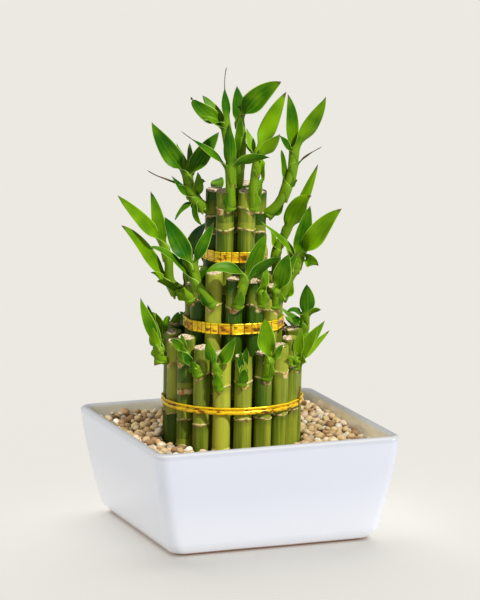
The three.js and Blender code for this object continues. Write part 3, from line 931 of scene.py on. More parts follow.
def sweep_tree(name, material):
    """Sweeps a circle along a line, as thick as the line says, and then wears it a little."""
    sheet, given = new_tree(name, {"Sides": 24, "Unevenness": 0.0002, "Grain": 60.0})
    line = sheet.node("GeometryNodeMeshToCurve", {"Mesh": given["Geometry"]})
    thick = sheet.node("GeometryNodeInputNamedAttribute", {"Name": "thick"}, data_type="FLOAT")
    circle = sheet.node("GeometryNodeCurvePrimitiveCircle", {"Resolution": given["Sides"], "Radius": 1.0})
    swept = {"Curve": line, "Profile Curve": circle, "Scale": thick, "Fill Caps": True}
    tube = sheet.node("GeometryNodeCurveToMesh", swept)
    wear = sheet.cloud(sheet.node("GeometryNodeInputPosition"), given["Grain"], 1.0)
    push = sheet.scaled(sheet.node("GeometryNodeInputNormal"), (wear - 0.5) * given["Unevenness"])
    return end_tree(sheet, sheet.moved(tube, push), material)


# %% [markdown]
# A swept cane knows nothing of its nodes, so each of its points is given numbers for the shader: how far the
# nearest node is, how far it lies over or under it, whether it is on the cut, how near it is to a scar, and
# the cane's own tone there. One signed distance would do for the first three, but it changes its sign
# halfway between two nodes, and the shader would draw a node there. The rings are bent and the cut is
# roughened at the same time.

# %% Nodes and cuts
RING_WAVE = 0.9
CUT_ROUGH = 0.7
CUT_SLANT = 0.16
FAR = 99.0
UPPER_FROM = 118


def point_marks(cane, z, gap, away):
    """What the shader reads at a point: its height, its gap to the node, its angle away from the shoot."""
    scar = bell(away, 0.8) * bell(z - cane["shoot_at"] + 2, 4.0)
    band = bell(z - SCAR_BANDS.get(cane["label"], -FAR), 2.2)
    upper = z > cane["nodes"][0] or z > UPPER_FROM
    return {
        "ring": abs(gap),
        "over": gap if gap > 0 else FAR,
        "under": -gap if gap < 0 else FAR,
        "cut": 1.0 if z > cane["top"] - 0.005 else 0.0,
        "scar": max(scar, band),
        "tone": cane["tones"][0 if upper else 1],
    }


def mark_cane(mesh, cane):
    """Bends the node rings, roughens the cut and stores what the shader reads."""
    back = BUNDLE.inverted()
    phase = cane["degrees"] * 0.7
    marks = []
    for point in mesh.vertices:
        here = back @ point.co / MM
        dx = here.x - cane["centre"].x - lean_at(here.z)
        dy = here.y - cane["centre"].y
        turn = math.atan2(dx, -dy)
        away = (turn - math.radians(cane["degrees"]) + math.pi) % (2 * math.pi) - math.pi
        node = min(cane["nodes"], key=lambda z: abs(here.z - z))
        gap = here.z - node
        marks.append(point_marks(cane, here.z, gap, away))
        point.co.z += dy * CUT_SLANT * ease(here.z, cane["top"] - 3, cane["top"]) * MM
        if marks[-1]["cut"]:
            rough = noise.noise(Vector((dx, dy, cane["degrees"])) * 0.55) * CUT_ROUGH
            point.co.z += (rough - 0.02 * abs(dx * dy)) * MM
        else:
            dip = bell(away, 0.55) * (1 if node == cane["shoot_at"] else 0.3)
            wave = 0.5 * math.sin(turn + phase + node) + 0.3 * math.sin(3 * turn + phase) - 1.6 * dip
            point.co.z += RING_WAVE * wave * bell(gap, 3.5) * ease(cane["top"] - here.z, 0, 6) * MM
    for name in marks[0]:
        store(mesh, name, [numbers[name] for numbers in marks])


# %% [markdown]
# The cane's skin is waxy: yellow green to deep green, with fine stripes along it. Just above a node, where it
# grew last, it is paler, just below it is painted darker as the shade under the node's ridge, and the node is
# a thin tan line with scraps of brown old sheath.
# The stripes are noise that is drawn out lengthwise, and the rest hangs on the stored numbers.

# %% Cane skin
CANE_DEEP = paint(44, 80, 0)
CANE_PALE = paint(166, 171, 52)
CANE_PAINTED_SHADE = paint(22, 50, 0)
NODE_TAN = paint(206, 184, 124)
NODE_BROWN = paint(118, 76, 36)
SCAR_TAN = paint(214, 186, 128)
SCAR_BROWN = paint(176, 104, 52)
CUT_CREAM = paint(226, 206, 174)
CUT_BROWN = paint(118, 88, 56)


def cane_finish():
    """Waxy striped green, with tan lines at the nodes and pale wood on the cut."""
    finish = Finish("cane_skin")
    place = finish.place()
    over = finish.attribute("over")
    under = finish.attribute("under")
    stripes = finish.cloud(finish.stretched(place, (1.0, 1.0, 0.02)), 900.0)
    broad = finish.cloud(finish.stretched(place, (1.0, 1.0, 0.12)), 130.0)
    blotch = finish.cloud(place, 420.0, 3.0)
    tone = finish.attribute("tone") + (stripes - 0.5) * 0.55 + (broad - 0.5) * 1.1
    above = finish.smooth(over, 0.2, 1.2) * (1 - finish.smooth(over, 2.0, 12.0))
    below = finish.smooth(under, 0.2, 0.8) * (1 - finish.smooth(under, 1.0, 6.0))
    scraps = finish.smooth(blotch, 0.52, 0.62)
    ring = 1 - finish.smooth(finish.attribute("ring") + (blotch - 0.5) * 2.4, 0.2, 0.6)
    rags = finish.smooth(blotch + (1 - finish.smooth(under, 0.3, 3.2)) * 0.24, 0.74, 0.78)
    line = finish.maths("MAXIMUM", ring, rags)
    scar = finish.smooth(finish.attribute("scar") + (blotch - 0.5) * 0.9, 0.55, 0.85)
    cut = finish.smooth(finish.attribute("cut"), 0.3, 0.7)
    pores = finish.smooth(finish.cloud(place, 1100.0, 3.0), 0.42, 0.66)
    finish.set(Base_Color=finish.coat(
        finish.mix(finish.smooth(tone, 0.0, 1.0), CANE_DEEP, CANE_PALE),
        (above * 0.4, CANE_PALE),
        # painted shade just under each node
        (below * 0.35, CANE_PAINTED_SHADE),
        (line * 0.9, finish.mix(scraps, NODE_TAN, NODE_BROWN)),
        (scar * 0.85, finish.mix(scraps, SCAR_TAN, SCAR_BROWN)),
        (cut, finish.mix(pores, CUT_CREAM, CUT_BROWN)),
    ))
    finish.set(Roughness=0.36 + (line + cut) * 0.3 + (blotch - 0.5) * 0.1, Specular_IOR_Level=0.2)
    finish.bump(stripes * 0.5 + blotch * (cut * 3.0 + line + 0.15), 0.25 * MM, 0.5)
    return finish.material


def add_canes():
    """Every cane without its shoot."""
    tree = sweep_tree("sweep_cane", cane_finish())
    faces = 0
    for cane in CANES:
        name = cane["name"] + "_stalk"
        mesh = grow(name, cane_line(cane), tree, {"Sides": CANE_SIDES, "Unevenness": 0.5 * MM})
        mark_cane(mesh, cane)
        show(name, mesh, "plant", cane["name"])
        faces += len(mesh.polygons)
    print("the canes have", faces, "faces")


add_canes()

# %% [markdown]
# From the highest node of nearly every cane grows a short leafy shoot: a pale green stem wrapped in sheaths,
# with narrow leaves that clasp it, open out and bow. The leaves could be flat cards with a picture, but a
# real leaf is a folded blade with a thickness, and its edge catches the light. So each is a closed skin over
# rings: nearly a tube where it clasps the stem, a shallow channel further out, and a point at its tip.
# The places of the shoots in front were read off. Those behind follow a rule.

# %% Shoots in front
# Each shoot has its green, from deep at 0 to bright yellow green at 1, then its stem and its leaves.
# A stem is points (right, away, up) in millimetres, from the cane's skin to the shoot's tip.
# A leaf is its stem point, then right, away and up of its tip, and its width. Where they aren't 0, how far it
# bows to the right and up and its twist in degrees come last.
SHOOTS = {
    "inner -30": (0.25, [(-1, -16, 204), (-1, -18, 214), (-1, -18, 228), (-2, -18, 242), (-4, -17, 254)], [
        (2, -2, -26, 256, 8), (2, 23, -31, 236, 7, 0, 3, 35), (2, -31, -28, 252, 6, 0, 0, 30),
        (4, -3, -17, 290, 7, -3, 0, 30), (4, -25, -22, 272, 10.5, -3.2, -2),
        (4, -18, -10, 271, 8.5, 0, 1, 20), (4, -18, -27, 260, 6, 0, 2, 50),
    ]),
    "inner 30": (0.9, [(13, -15, 204), (13, -18, 214), (14, -19, 223), (15, -19, 233), (15, -18, 237)], [
        (4, 33, -14, 274, 11, -1, 0.5), (3, 29, -27, 250, 9, 1, -0.5, 25), (4, 9, -10, 251, 6, -1, 0, 30),
        (4, 8, -12, 242, 5, 0, 1, 40), (3, 18, -23, 219, 5, 3, 0, 45), (0, 18, -17, 218, 4, 1, 0, 30),
    ]),
    "inner -90": (0.3, [(-18, -3, 202), (-23, -5, 207), (-26, -6, 213), (-27, -6, 220)], [
        (3, -49, -12, 255, 12.5, -1.5, -1), (3, -8, 2, 247, 11.5, 0, 0.5), (3, -34, 3, 240, 7, 0, 0, 45),
        (3, -26, 10, 239, 7, 0, 0, 45), (2, -52, -14, 226, 4.5, 0, -2, 45), (2, -16, -10, 218, 5, 0, 3, 40),
        (1, -37, -12, 222, 5, -1, 0, 30), (1, -21, -10, 224, 6.5, 1.5), (1, -35, -10, 194, 4.5, -1.5, 2, 30),
        (1, -18, -12, 191, 5, -4, 0, 35),
    ]),
    "inner 90": (0.35, [(23, -3, 198), (30, -5, 206), (34, -6, 215), (37, -7, 228), (38, -7, 237)], [
        (4, 57, -14, 271, 10.5, 2, -1, 20), (4, 34, -2, 271, 9.5, 2, 0, 25), (3, 55, -12, 240, 4, 0, 0.5, 40),
        (4, 29, -13, 247, 6, 0, 0, 40), (2, 30, -11, 238, 6, 0, 0, 45), (2, 40, -10, 219, 4, 0, 1, 40),
    ]),
    "heart": (0.15, [(2, -2, 208), (4, -5, 217), (5, -8, 227), (6, -8, 240), (4, -8, 255)], [
        (4, 30, -14, 280, 14, -0.5, 3.5), (4, 3, -2, 276, 9, 0, 0, 15), (2, 5, -13, 261, 7, 0, 0, 30),
    ]),
    "middle 120": (1.0, [(27, 15, 154), (28, 15, 171), (34, 14, 185)], [
        (2, 49, 4, 207, 13, -4, 4), (1, 24, 9, 186, 6, 0, 0, 50), (2, 53, 10, 226, 7, 1),
    ]),
    "middle -90": (0.55, [(-30, -1, 148), (-38, -3, 155), (-39, -5, 167), (-41, -5, 177)], [
        (1, -68, -10, 191, 9.5, 1, 4, 20), (3, -70, -12, 210, 9.5, 0.5, -0.5, 10),
        (3, -50, -3, 211, 9, 1, 0, 10), (1, -50, -12, 162, 6, 0, 1.5, 45),
    ]),
    "middle -60": (0.6, [(-26, -15, 147), (-31, -18, 152)], [(1, -46, -20, 158, 6, 0, 2, 30)]),
    "middle -30": (0.15, [(-13, -26, 146), (-18, -29, 153), (-22, -31, 160), (-24, -31, 170)], [
        (3, -41, -27, 199, 12.5), (3, -11, -27, 196, 7.5), (2, -51, -36, 182, 8, 2, 6, 50),
    ]),
    "middle 0": (0.3, [(4, -30, 146), (6, -33, 155), (8, -33, 162)], [
        (2, -17, -40, 166, 8.5, 1, 7.5, 25), (2, 21, -30, 189, 10.5, 0, 1), (2, 30, -38, 176, 8, 0, 3, 40),
    ]),
    "middle 30": (0.6, [(18, -25, 146), (18, -28, 153)], [(1, 21, -28, 170, 6, 0, 0, 35)]),
    "middle 60": (0.5, [(26, -15, 143), (27, -18, 152)], [
        (1, 35, -20, 175, 12, -1), (1, 40, -12, 175, 8, 0, 0, 40),
    ]),
    "middle 90": (0.85, [(31, -1, 146), (36, -3, 158), (39, -4, 162), (41, -5, 170)], [
        (3, 67, -14, 202, 13, -1.7, 2.3), (3, 48, -3, 202, 11, -0.5, 0, 10),
        (3, 53, -12, 166, 8.5, 1, 3.5, 20), (3, 15, -22, 197, 4.5, 2, 1, 45), (2, 33, 4, 181, 7, 0, 0, 40),
    ]),
    "outer -110": (0.4, [(-41, 15, 110), (-41, 16, 117)], [
        (1, -29, 8, 130, 5.5, 0.5, 10), (1, -50, 26, 130, 7, 0, 2),
    ]),
    "outer -90": (0.5, [(-42, -1, 110), (-44, 0, 117)], [
        (1, -47, 4, 134, 6, 0, 0, 30), (1, -38, 3, 129, 5, -1, 10, 30),
    ]),
    "outer -70": (0.7, [(-44, -16, 109), (-44, -18, 116)], [
        (1, -56, -21, 148, 8, -2, 0, 20), (1, -52, -12, 142, 6, 0, 0, 20), (1, -48, -24, 130, 7, -2),
    ]),
    "outer -50": (0.6, [(-28, -30, 112), (-28, -31, 116)], [
        (1, -38, -35, 124, 6, 1, 2.5), (1, -31, -30, 127, 5),
    ]),
    "outer -30": (0.25, [(-21, -37, 105), (-22, -39, 109)], [(1, -31, -42, 118, 5.5, 0, 1.5)]),
    "outer -10": (0.6, [(-8, -41, 97), (-9, -43, 104), (-9, -43, 110)], [
        (2, -15, -45, 126, 7.5, -1), (2, 2, -46, 128, 8.5, 0, -1),
    ]),
    "outer 10": (0.15, [(6, -41, 100), (7, -43, 107)], [(1, 9, -45, 122, 5), (1, 5, -43, 119, 4.5)]),
    "outer 30": (0.45, [(21, -37, 103), (22, -40, 109), (23, -41, 114)], [
        (2, 20, -43, 140, 11.5), (2, 31, -43, 123, 5.5, 0, 1, 20),
    ]),
    "outer 70": (0.9, [(39, -15, 105), (40, -18, 109)], [
        (1, 43, -21, 128, 7, -1), (1, 53, -22, 131, 8), (1, 57, -12, 132, 7),
        (1, 60, -8, 125, 6, 0, 0, 30), (1, 34, -32, 114, 5, 0, 0, 30),
    ]),
    "outer 90": (0.3, [(42, 0, 111), (44, 2, 118), (45, 2, 126), (45, 1, 134)], [
        (3, 46, -3, 153, 10, 0.5), (3, 34, -5, 136, 6, 0, 3, 40), (3, 55, -4, 137, 5, 0, 2.5, 50),
        (2, 37, -5, 132, 6, -2, 2),
    ]),
}
BARE_CANES = ["outer 50"]
FRONT = Vector((0, -1, 0.3))

# Single leaves, named by the right and up of their tip. The first have dried to a thread at their end, and
# the number is the share of the length that is still leaf. The others have a green of their own.
WITHERED = {(-3, 290): 0.66, (-31, 252): 0.8, (-52, 226): 0.5, (55, 240): 0.25}
LEAF_TONES = {(-25, 272): 0.1, (-17, 166): 0.1, (-15, 126): 0.3, (67, 202): 0.95, (48, 202): 0.3}


def leaf_plan(start, tip, width, bow, twist, face):
    """What a leaf needs: its stem point, its tip, its width, how it bows and twists, and where it faces."""
    return {
        "from": start, "tip": tip, "width": width, "bow": bow, "twist": twist, "face": face,
        "body": 1.0, "tone": None,
    }


def front_plan(cane):
    """The stem's points and the leaves of a shoot that was read off."""
    _, stem, rows = SHOOTS[cane["label"]]
    leaves = []
    for row in rows:
        start, x, y, z, width, bow_right, bow_up, twist = (*row, 0, 0, 0)[:8]
        bow = Vector((bow_right, 0, bow_up))
        leaf = leaf_plan(start, Vector((x, y, z)), width, bow, math.radians(twist), FRONT)
        leaf["body"] = WITHERED.get((x, z), 1.0)
        leaf["tone"] = LEAF_TONES.get((x, z))
        leaves.append(leaf)
    return [Vector(point) for point in stem], leaves


# %% Shoots behind
# The rise of each stem, how far its leaves pull round to the back, and each leaf's reach, lift, spread, width
BACK_SHOOTS = {
    "outer": (10, 0.6, [(15, 13, 2, 7), (17, 9, -2, 7)]),
    "middle": (20, 0.6, [(24, 20, 4, 9), (26, 6, -4, 9), (20, 12, 1, 9)]),
    "inner": (12, 0.9, [(28, 3, -8, 9), (24, -11, -2, 9), (20, 8, -20, 4.5)]),
}
BACK_TWIST = 0.45


def back_plan(cane):
    """A shoot by rule: its stem leaves the cane outwards, and its leaves turn towards the back."""
    rise, pull, rows = BACK_SHOOTS[cane["tier"]]
    degrees = cane["degrees"]
    height = cane["shoot_at"]
    skin = cane["centre"].length + cane["radius"] * 0.8
    side = -1 if degrees < 0 else 1

    def out(angle, distance, z):
        return bearing(angle) * distance + Vector((lean_at(z), 0, z))

    steps = [(0, 0), (4, 0.5), (5, 1)]
    stem = [out(degrees, skin + away, height + rise * share) for away, share in steps]
    leaves = []
    for i, (reach, lift, spread, width) in enumerate(rows):
        sway = math.sin(degrees + 2 * i)
        turned = pull * (side * 180 - degrees) + side * spread
        tip = out(degrees + turned + 2 * sway, skin + 5 + reach + 2 * sway, height + rise + lift + 3 * sway)
        bow = Vector((0, 0, reach * 0.12))
        face = bearing(degrees) * -0.4 + Vector((0, 0, 1))
        leaves.append(leaf_plan(2 if i % 2 == 0 else 1, tip, width, bow, BACK_TWIST * side, face))
    return stem, leaves


# %% [markdown]
# A leaf needs a rib, a width along it, and a section that turns from a clasping tube to a shallow channel.
# The rib is a curve that leaves along the stem and then bows to the tip. Its upper side faces the stem at
# first and then the side that was seen, and the section turns over smoothly between the two.

# %% One leaf
SHEATH_STATIONS = 4
BLADE_STATIONS = 17
LEAF_ACROSS = 8
LEAF_THICK = 0.5
KEEL = 0.3
CLASP = 2.0
OPEN = 0.5
THREAD = 0.7
RIPPLE = 0.35
BLADE_PEAK = (0.8 / 1.9) ** 0.8 * (1.1 / 1.9) ** 1.1


def blade_share(t):
    """A leaf's width along its length, as a share of its greatest width."""
    return (t ** 0.8) * ((1 - t) ** 1.1) / BLADE_PEAK


def rib_points(foot, way, tip, middle):
    """Points of the rib with their directions, from the sheath's end at t = 0 to the tip at t = 1."""
    first = foot + way * (tip - foot).length * 0.2
    last = tip + (middle - tip) * 0.6
    made = []
    for t in even(0, 1, BLADE_STATIONS):
        s = 1 - t
        point = foot * s ** 3 + first * 3 * s * s * t + last * 3 * s * t * t + tip * t ** 3
        along = (first - foot) * s * s + (last - first) * 2 * s * t + (tip - last) * t * t
        made.append((t, point, along.normalized()))
    return made


def leaf_section(point, along, up, half, wrap, ripple):
    """A closed ring round the blade: the upper side from edge to edge, and the under side back."""
    side = along.cross(up).normalized()
    radius = half / wrap
    upper = []
    under = []
    for s in even(-1, 1, LEAF_ACROSS + 1):
        turn = s * wrap
        normal = up * math.cos(turn) - side * math.sin(turn)
        lift = radius * (1 - math.cos(turn)) + ripple * s ** 3
        here = point + side * radius * math.sin(turn) + up * lift
        keel = KEEL * bell(s, 0.14)
        deep = LEAF_THICK * (1 - 0.75 * s * s)
        upper.append(here + normal * (deep / 2 - keel * 0.3))
        under.append(here - normal * (deep / 2 + keel))
    return upper + under[::-1]


def leaf_ring(leaf, station, out, way, stem_radius, wave):
    """The leaf's ring at one station: a clasping tube at the sheath, a shallow channel further out."""
    t, point, along = station
    if t >= 1:
        return [point]
    clasping = way * along.dot(out) - out * along.dot(way)
    side = along.cross(leaf["face"]).normalized()
    seen = Matrix.Rotation(leaf["twist"], 3, along) @ side.cross(along)
    seen = -seen if seen.dot(clasping) < -0.2 else seen
    up = clasping.lerp(seen, ease(t, 0.05, 0.5)).normalized()
    up = (up - along * up.dot(along)).normalized()
    tube = stem_radius * CLASP * between(0.15, 1, ease(t, -1, -0.15))
    blade = leaf["width"] / 2 * blade_share(min(max(t, 0) / leaf["body"], 1))
    half = max(between(tube, blade, ease(t, 0.0, 0.2)), THREAD * (1.2 - max(t, 0)))
    wrap = between(CLASP, OPEN, ease(t, 0.0, 0.3)) - 0.25 * ease(t, 0.6, 1)
    ripple = RIPPLE * math.sin(wave + 9 * t) * ease(t, 0.1, 0.3)
    return leaf_section(point, along, up, half, wrap, ripple)


def add_leaf(skin, base, way, leaf, stem_radius, sheath_long, tone, draw):
    """Adds one leaf with its sheath, in the bundle's frame and millimetres."""
    out = leaf["tip"] - base
    out = out - way * out.dot(way)
    out = out.normalized() if out.length > 0.5 else way.orthogonal().normalized()
    foot = base + out * stem_radius
    middle = (base + leaf["tip"]) / 2 + leaf["bow"] * 2
    sheath = [(s, foot + way * s * sheath_long, way) for s in even(-1, 0, SHEATH_STATIONS + 1)[:-1]]
    stations = sheath + rib_points(foot, way, leaf["tip"], middle)
    wave = draw.uniform(0, 6.28)
    dry = draw.random()
    rings = [leaf_ring(leaf, station, out, way, stem_radius, wave) for station in stations]
    skin.add_rings(rings)
    for (t, _, _), ring in zip(stations, rings):
        count = len(ring)
        for k in range(count):
            across = k if k < count / 2 else count - 1 - k
            skin.flat.append((across / LEAF_ACROSS if count > 1 else 0.5, max(t, 0)))
        withered = 8 * ease(t, leaf["body"] - 0.1, leaf["body"] + 0.05) if leaf["body"] < 1 else 0
        hem = 1 - ease((1 + t) * sheath_long, 0.6, 2.4) if t < 0 else 0.0
        skin.mark(count, sheath=1 - ease(t, 0.0, 0.3), tone=tone, dry=dry + withered, hem=hem)


# %% One shoot
STEM_SIDES = 12
STEM_FOOT = 3.2
STEM_TOP = 2.3
STEM_SPAN = 5
SHOOT_SEED = 19
SCALE_WIDTH = 6.5
SCALE_SHEATH = 3.0


def smooth_line(points):
    """A rounded line through a few points."""
    padded = [points[0] * 2 - points[1], *points, points[-1] * 2 - points[-2]]
    line = []
    for i in range(1, len(padded) - 2):
        a, b, c, d = padded[i - 1:i + 3]
        square = a * 2 - b * 5 + c * 4 - d
        cube = b * 3 - a - c * 3 + d
        for step in range(STEM_SPAN):
            t = step / STEM_SPAN
            line.append(0.5 * (b * 2 + (c - a) * t + square * t * t + cube * t ** 3))
    return line + [points[-1]]


def stem_radius_at(share):
    return between(STEM_FOOT, STEM_TOP, share)


def add_stem(skin, points, tone):
    """The stem, thinner by a step above each sheath and closed to a point."""
    line = smooth_line(points)
    last = len(line) - 1
    rings = []
    for i, point in enumerate(line):
        along = (line[min(i + 1, last)] - line[max(i - 1, 0)]).normalized()
        side = along.cross(Vector((1, 0, 0.01))).normalized()
        up = side.cross(along)
        step = (i % STEM_SPAN) / STEM_SPAN
        radius = (stem_radius_at(i / last) + 0.25 * (1 - step)) * between(0.5, 1, ease(i, 0, STEM_SPAN))
        turns = even(0, 2 * math.pi, STEM_SIDES + 1)[:-1]
        rings.append([point + (side * math.cos(turn) + up * math.sin(turn)) * radius for turn in turns])
    rings.append([line[-1] + (line[-1] - line[-2]).normalized() * 1.5])
    skin.add_rings(rings)
    for ring in rings:
        skin.flat.extend(((k + 0.5) / STEM_SIDES, 0.0) for k in range(len(ring)))
        skin.mark(len(ring), sheath=1.0, tone=tone, dry=0.0, hem=0.0)


def shoot_mesh(cane, draw):
    """The whole shoot of a cane: its stem, its leaves and the scale at its foot."""
    read_off = cane["label"] in SHOOTS
    stem, leaves = front_plan(cane) if read_off else back_plan(cane)
    tone = draw.random()
    if read_off:
        tone = SHOOTS[cane["label"]][0]
    height = cane["shoot_at"]
    line = [cane["centre"] + Vector((lean_at(height), 0, height - 1.5)), *stem]
    skin = Skin()
    add_stem(skin, line, tone)
    taken = {}
    for leaf in leaves:
        at = leaf["from"] + 1
        way = (line[min(at + 1, len(line) - 1)] - line[at - 1]).normalized()
        crowd = taken.get(at, 0)
        taken[at] = crowd + 1
        base = line[at] - way * 1.3 * crowd
        radius = stem_radius_at(at / (len(line) - 1)) + 0.3 + 0.22 * (2 - crowd % 3)
        sheath = min(11.0, 0.9 * (line[at] - line[at - 1]).length)
        green = tone + draw.uniform(-0.3, 0.3)
        if leaf["tone"] is not None:
            green = leaf["tone"]
        add_leaf(skin, base, way, leaf, radius, sheath, green, draw)
    way = (line[2] - line[1]).normalized()
    tip = line[1] + bearing(cane["degrees"]) * 3.2 + way * 9
    scale = leaf_plan(0, tip, SCALE_WIDTH, Vector((0, 0, 0)), 0.0, FRONT)
    add_leaf(skin, line[1] - way, way, scale, STEM_FOOT + 0.5, SCALE_SHEATH, tone, draw)
    skin.points = [into_pot(point) for point in skin.points]
    return skin.mesh(cane["name"] + "_shoot")


# %% [markdown]
# A leaf is glossy and fresh green, darker along the middle in some places and yellower in others, with fine
# veins that run its whole length, a paler rib, a thin painted highlight along its edge where light shines
# through, and sometimes a dry brown point.
# The veins follow the blade, so the pattern reads the leaf's own map: across it and along it.

# %% Leaf green
LEAF_DEEP = paint(24, 82, 0)
LEAF_FRESH = paint(110, 154, 0)
SHEATH_PALE = paint(112, 148, 22)
EDGE_HIGHLIGHT = paint(190, 212, 104)
TIP_BROWN = paint(84, 66, 34)
HEM_CREAM = paint(212, 196, 120)
HEM_BROWN = paint(140, 92, 40)


def leaf_finish():
    """Veined green with a pale rib, a painted highlight along the edge, torn hems on the sheaths and dry
    tips.
    """
    finish = Finish("leaf_green")
    place = finish.place()
    along = finish.share_of(finish.uv(), 1)
    middle = finish.maths("ABSOLUTE", finish.share_of(finish.uv(), 0) - 0.5) * 2
    veins = finish.cloud(finish.stretched(finish.uv(), (26.0, 1.2, 1.0)), 1.0, 1.0)
    patch = finish.cloud(place, 75.0)
    torn = finish.cloud(place, 500.0)
    fresh = finish.smooth(finish.attribute("tone") * 0.5 + patch + (veins - 0.5) * 0.7, 0.35, 1.15)
    rib = (1 - finish.smooth(middle, 0.02, 0.1)) * (1 - along)
    hem = finish.smooth(finish.attribute("hem") + (torn - 0.5) * 0.8, 0.55, 0.7)
    edge = finish.smooth(middle, 0.9, 0.99) * (1 - finish.smooth(along, 0.75, 0.95))
    tip = finish.smooth(along + finish.attribute("dry") * 0.08, 0.95, 1.03)
    finish.set(Base_Color=finish.coat(
        finish.mix(fresh, LEAF_DEEP, LEAF_FRESH),
        (rib * 0.35, SHEATH_PALE),
        (finish.attribute("sheath") * (0.55 + 0.4 * veins), SHEATH_PALE),
        (hem * 0.9, finish.mix(finish.smooth(torn, 0.5, 0.6), HEM_CREAM, HEM_BROWN)),
        # painted highlight along the thin edge of the blade
        (edge * 0.7, EDGE_HIGHLIGHT),
        (tip, TIP_BROWN),
    ))
    finish.set(Roughness=0.36 + veins * 0.12, Specular_IOR_Level=0.1)
    finish.bump(veins + rib * 0.6, 0.2 * MM, 0.35)
    return finish.material


def add_shoots():
    """A shoot on every cane that isn't bare."""
    leaf = leaf_finish()
    draw = random.Random(SHOOT_SEED)
    faces = 0
    for cane in CANES:
        if cane["label"] in BARE_CANES:
            continue
        mesh = shoot_mesh(cane, draw)
        mesh.materials.append(leaf)
        show(cane["name"] + "_shoot", mesh, "plant", cane["name"])
        faces += len(mesh.polygons)
    print("the shoots have", faces, "faces")


add_shoots()

# %% [markdown]
# Gilt ties hold each tier. The lowest is three turns of thin wire whose ends are twisted together and stand
# up at the right. The two above are taller crimped bands, with a wire along each edge.
# All follow one path: round the outside of each cane and straight on to the next. So a tree sweeps an oval
# along that path, and a wave along the path makes the crimps.

# %% Tie paths
TIE_CLEAR = 0.35
PATH_STEP = 0.6
TIES = {
    "tie_lower": {"tier": "outer", "height": 81.6},
    "tie_middle": {"tier": "middle", "height": 130},
    "tie_upper": {"tier": "inner", "height": 172.2},
}


def tie_path(tie, stand_off, rise):
    """Points round a tier at even steps, a little off the canes, and closed."""
    tier = TIERS[tie["tier"]]
    count = len(tier["tops"])
    half = 180 / count
    height = tie["height"] + rise
    corners = []
    for index in range(count):
        degrees = tier["first"] + 360 / count * index
        centre = bearing(degrees) * tier["ring"] + Vector((lean_at(height), 0, height))
        for turn in even(-half, half, 5):
            corners.append(centre + bearing(degrees + turn) * (tier["radius"] + TIE_CLEAR + stand_off))
    points = []
    for a, b in zip(corners, corners[1:] + corners[:1]):
        pieces = max(1, round((b - a).length / PATH_STEP))
        points.extend(a.lerp(b, step / pieces) for step in range(pieces))
    return points


def loop_mesh(name, points, cells):
    """A closed line whose points count the crimps along it. With none, all are in the middle of one."""
    mesh = bpy.data.meshes.new(name)
    count = len(points)
    mesh.from_pydata([into_pot(p) for p in points], [(i, (i + 1) % count) for i in range(count)], [])
    run = 0.0
    runs = []
    for i, point in enumerate(points):
        runs.append(run)
        run += (points[(i + 1) % count] - point).length
    shares = [r / run for r in runs]
    store(mesh, "cell", [0.5 + cells * (s + 0.016 * math.sin(10 * math.pi * s)) for s in shares])
    return mesh


def strand_tree(material):
    """Sweeps an oval along a level path. Crimps press it in at even steps."""
    sheet, given = new_tree("wind_strand", {
        "Tall": 0.001, "Deep": 0.001, "Crimp Depth": 0.0, "Unevenness": 0.0003,
    })
    line = sheet.node("GeometryNodeMeshToCurve", {"Mesh": given["Geometry"]})
    level = sheet.node("GeometryNodeSetCurveNormal", {"Curve": line}, mode="Z_UP")
    circle = sheet.node("GeometryNodeCurvePrimitiveCircle", {"Resolution": 12, "Radius": 0.5})
    size = sheet.node("ShaderNodeCombineXYZ", {0: given["Deep"], 1: given["Tall"], 2: 1.0})
    oval = sheet.node("GeometryNodeTransform", {"Geometry": circle, "Scale": size})
    tube = sheet.node("GeometryNodeCurveToMesh", {"Curve": level, "Profile Curve": oval, "Scale": 1.0})
    cell = sheet.node("GeometryNodeInputNamedAttribute", {"Name": "cell"}, data_type="FLOAT")
    beat = sheet.maths("ABSOLUTE", sheet.maths("SINE", cell * math.pi))
    pressed = sheet.maths("POWER", 1 - beat, 3.0) * given["Crimp Depth"]
    wear = sheet.cloud(sheet.node("GeometryNodeInputPosition"), 420.0, 1.0)
    amount = (wear - 0.5) * given["Unevenness"] - pressed
    push = sheet.scaled(sheet.node("GeometryNodeInputNormal"), amount)
    return end_tree(sheet, sheet.moved(tube, push), material)


# %% Gilt
GILT_BRIGHT = paint(255, 214, 26)
GILT_AMBER = paint(222, 150, 8)
GILT_PAINTED_SHADE = paint(96, 56, 6)


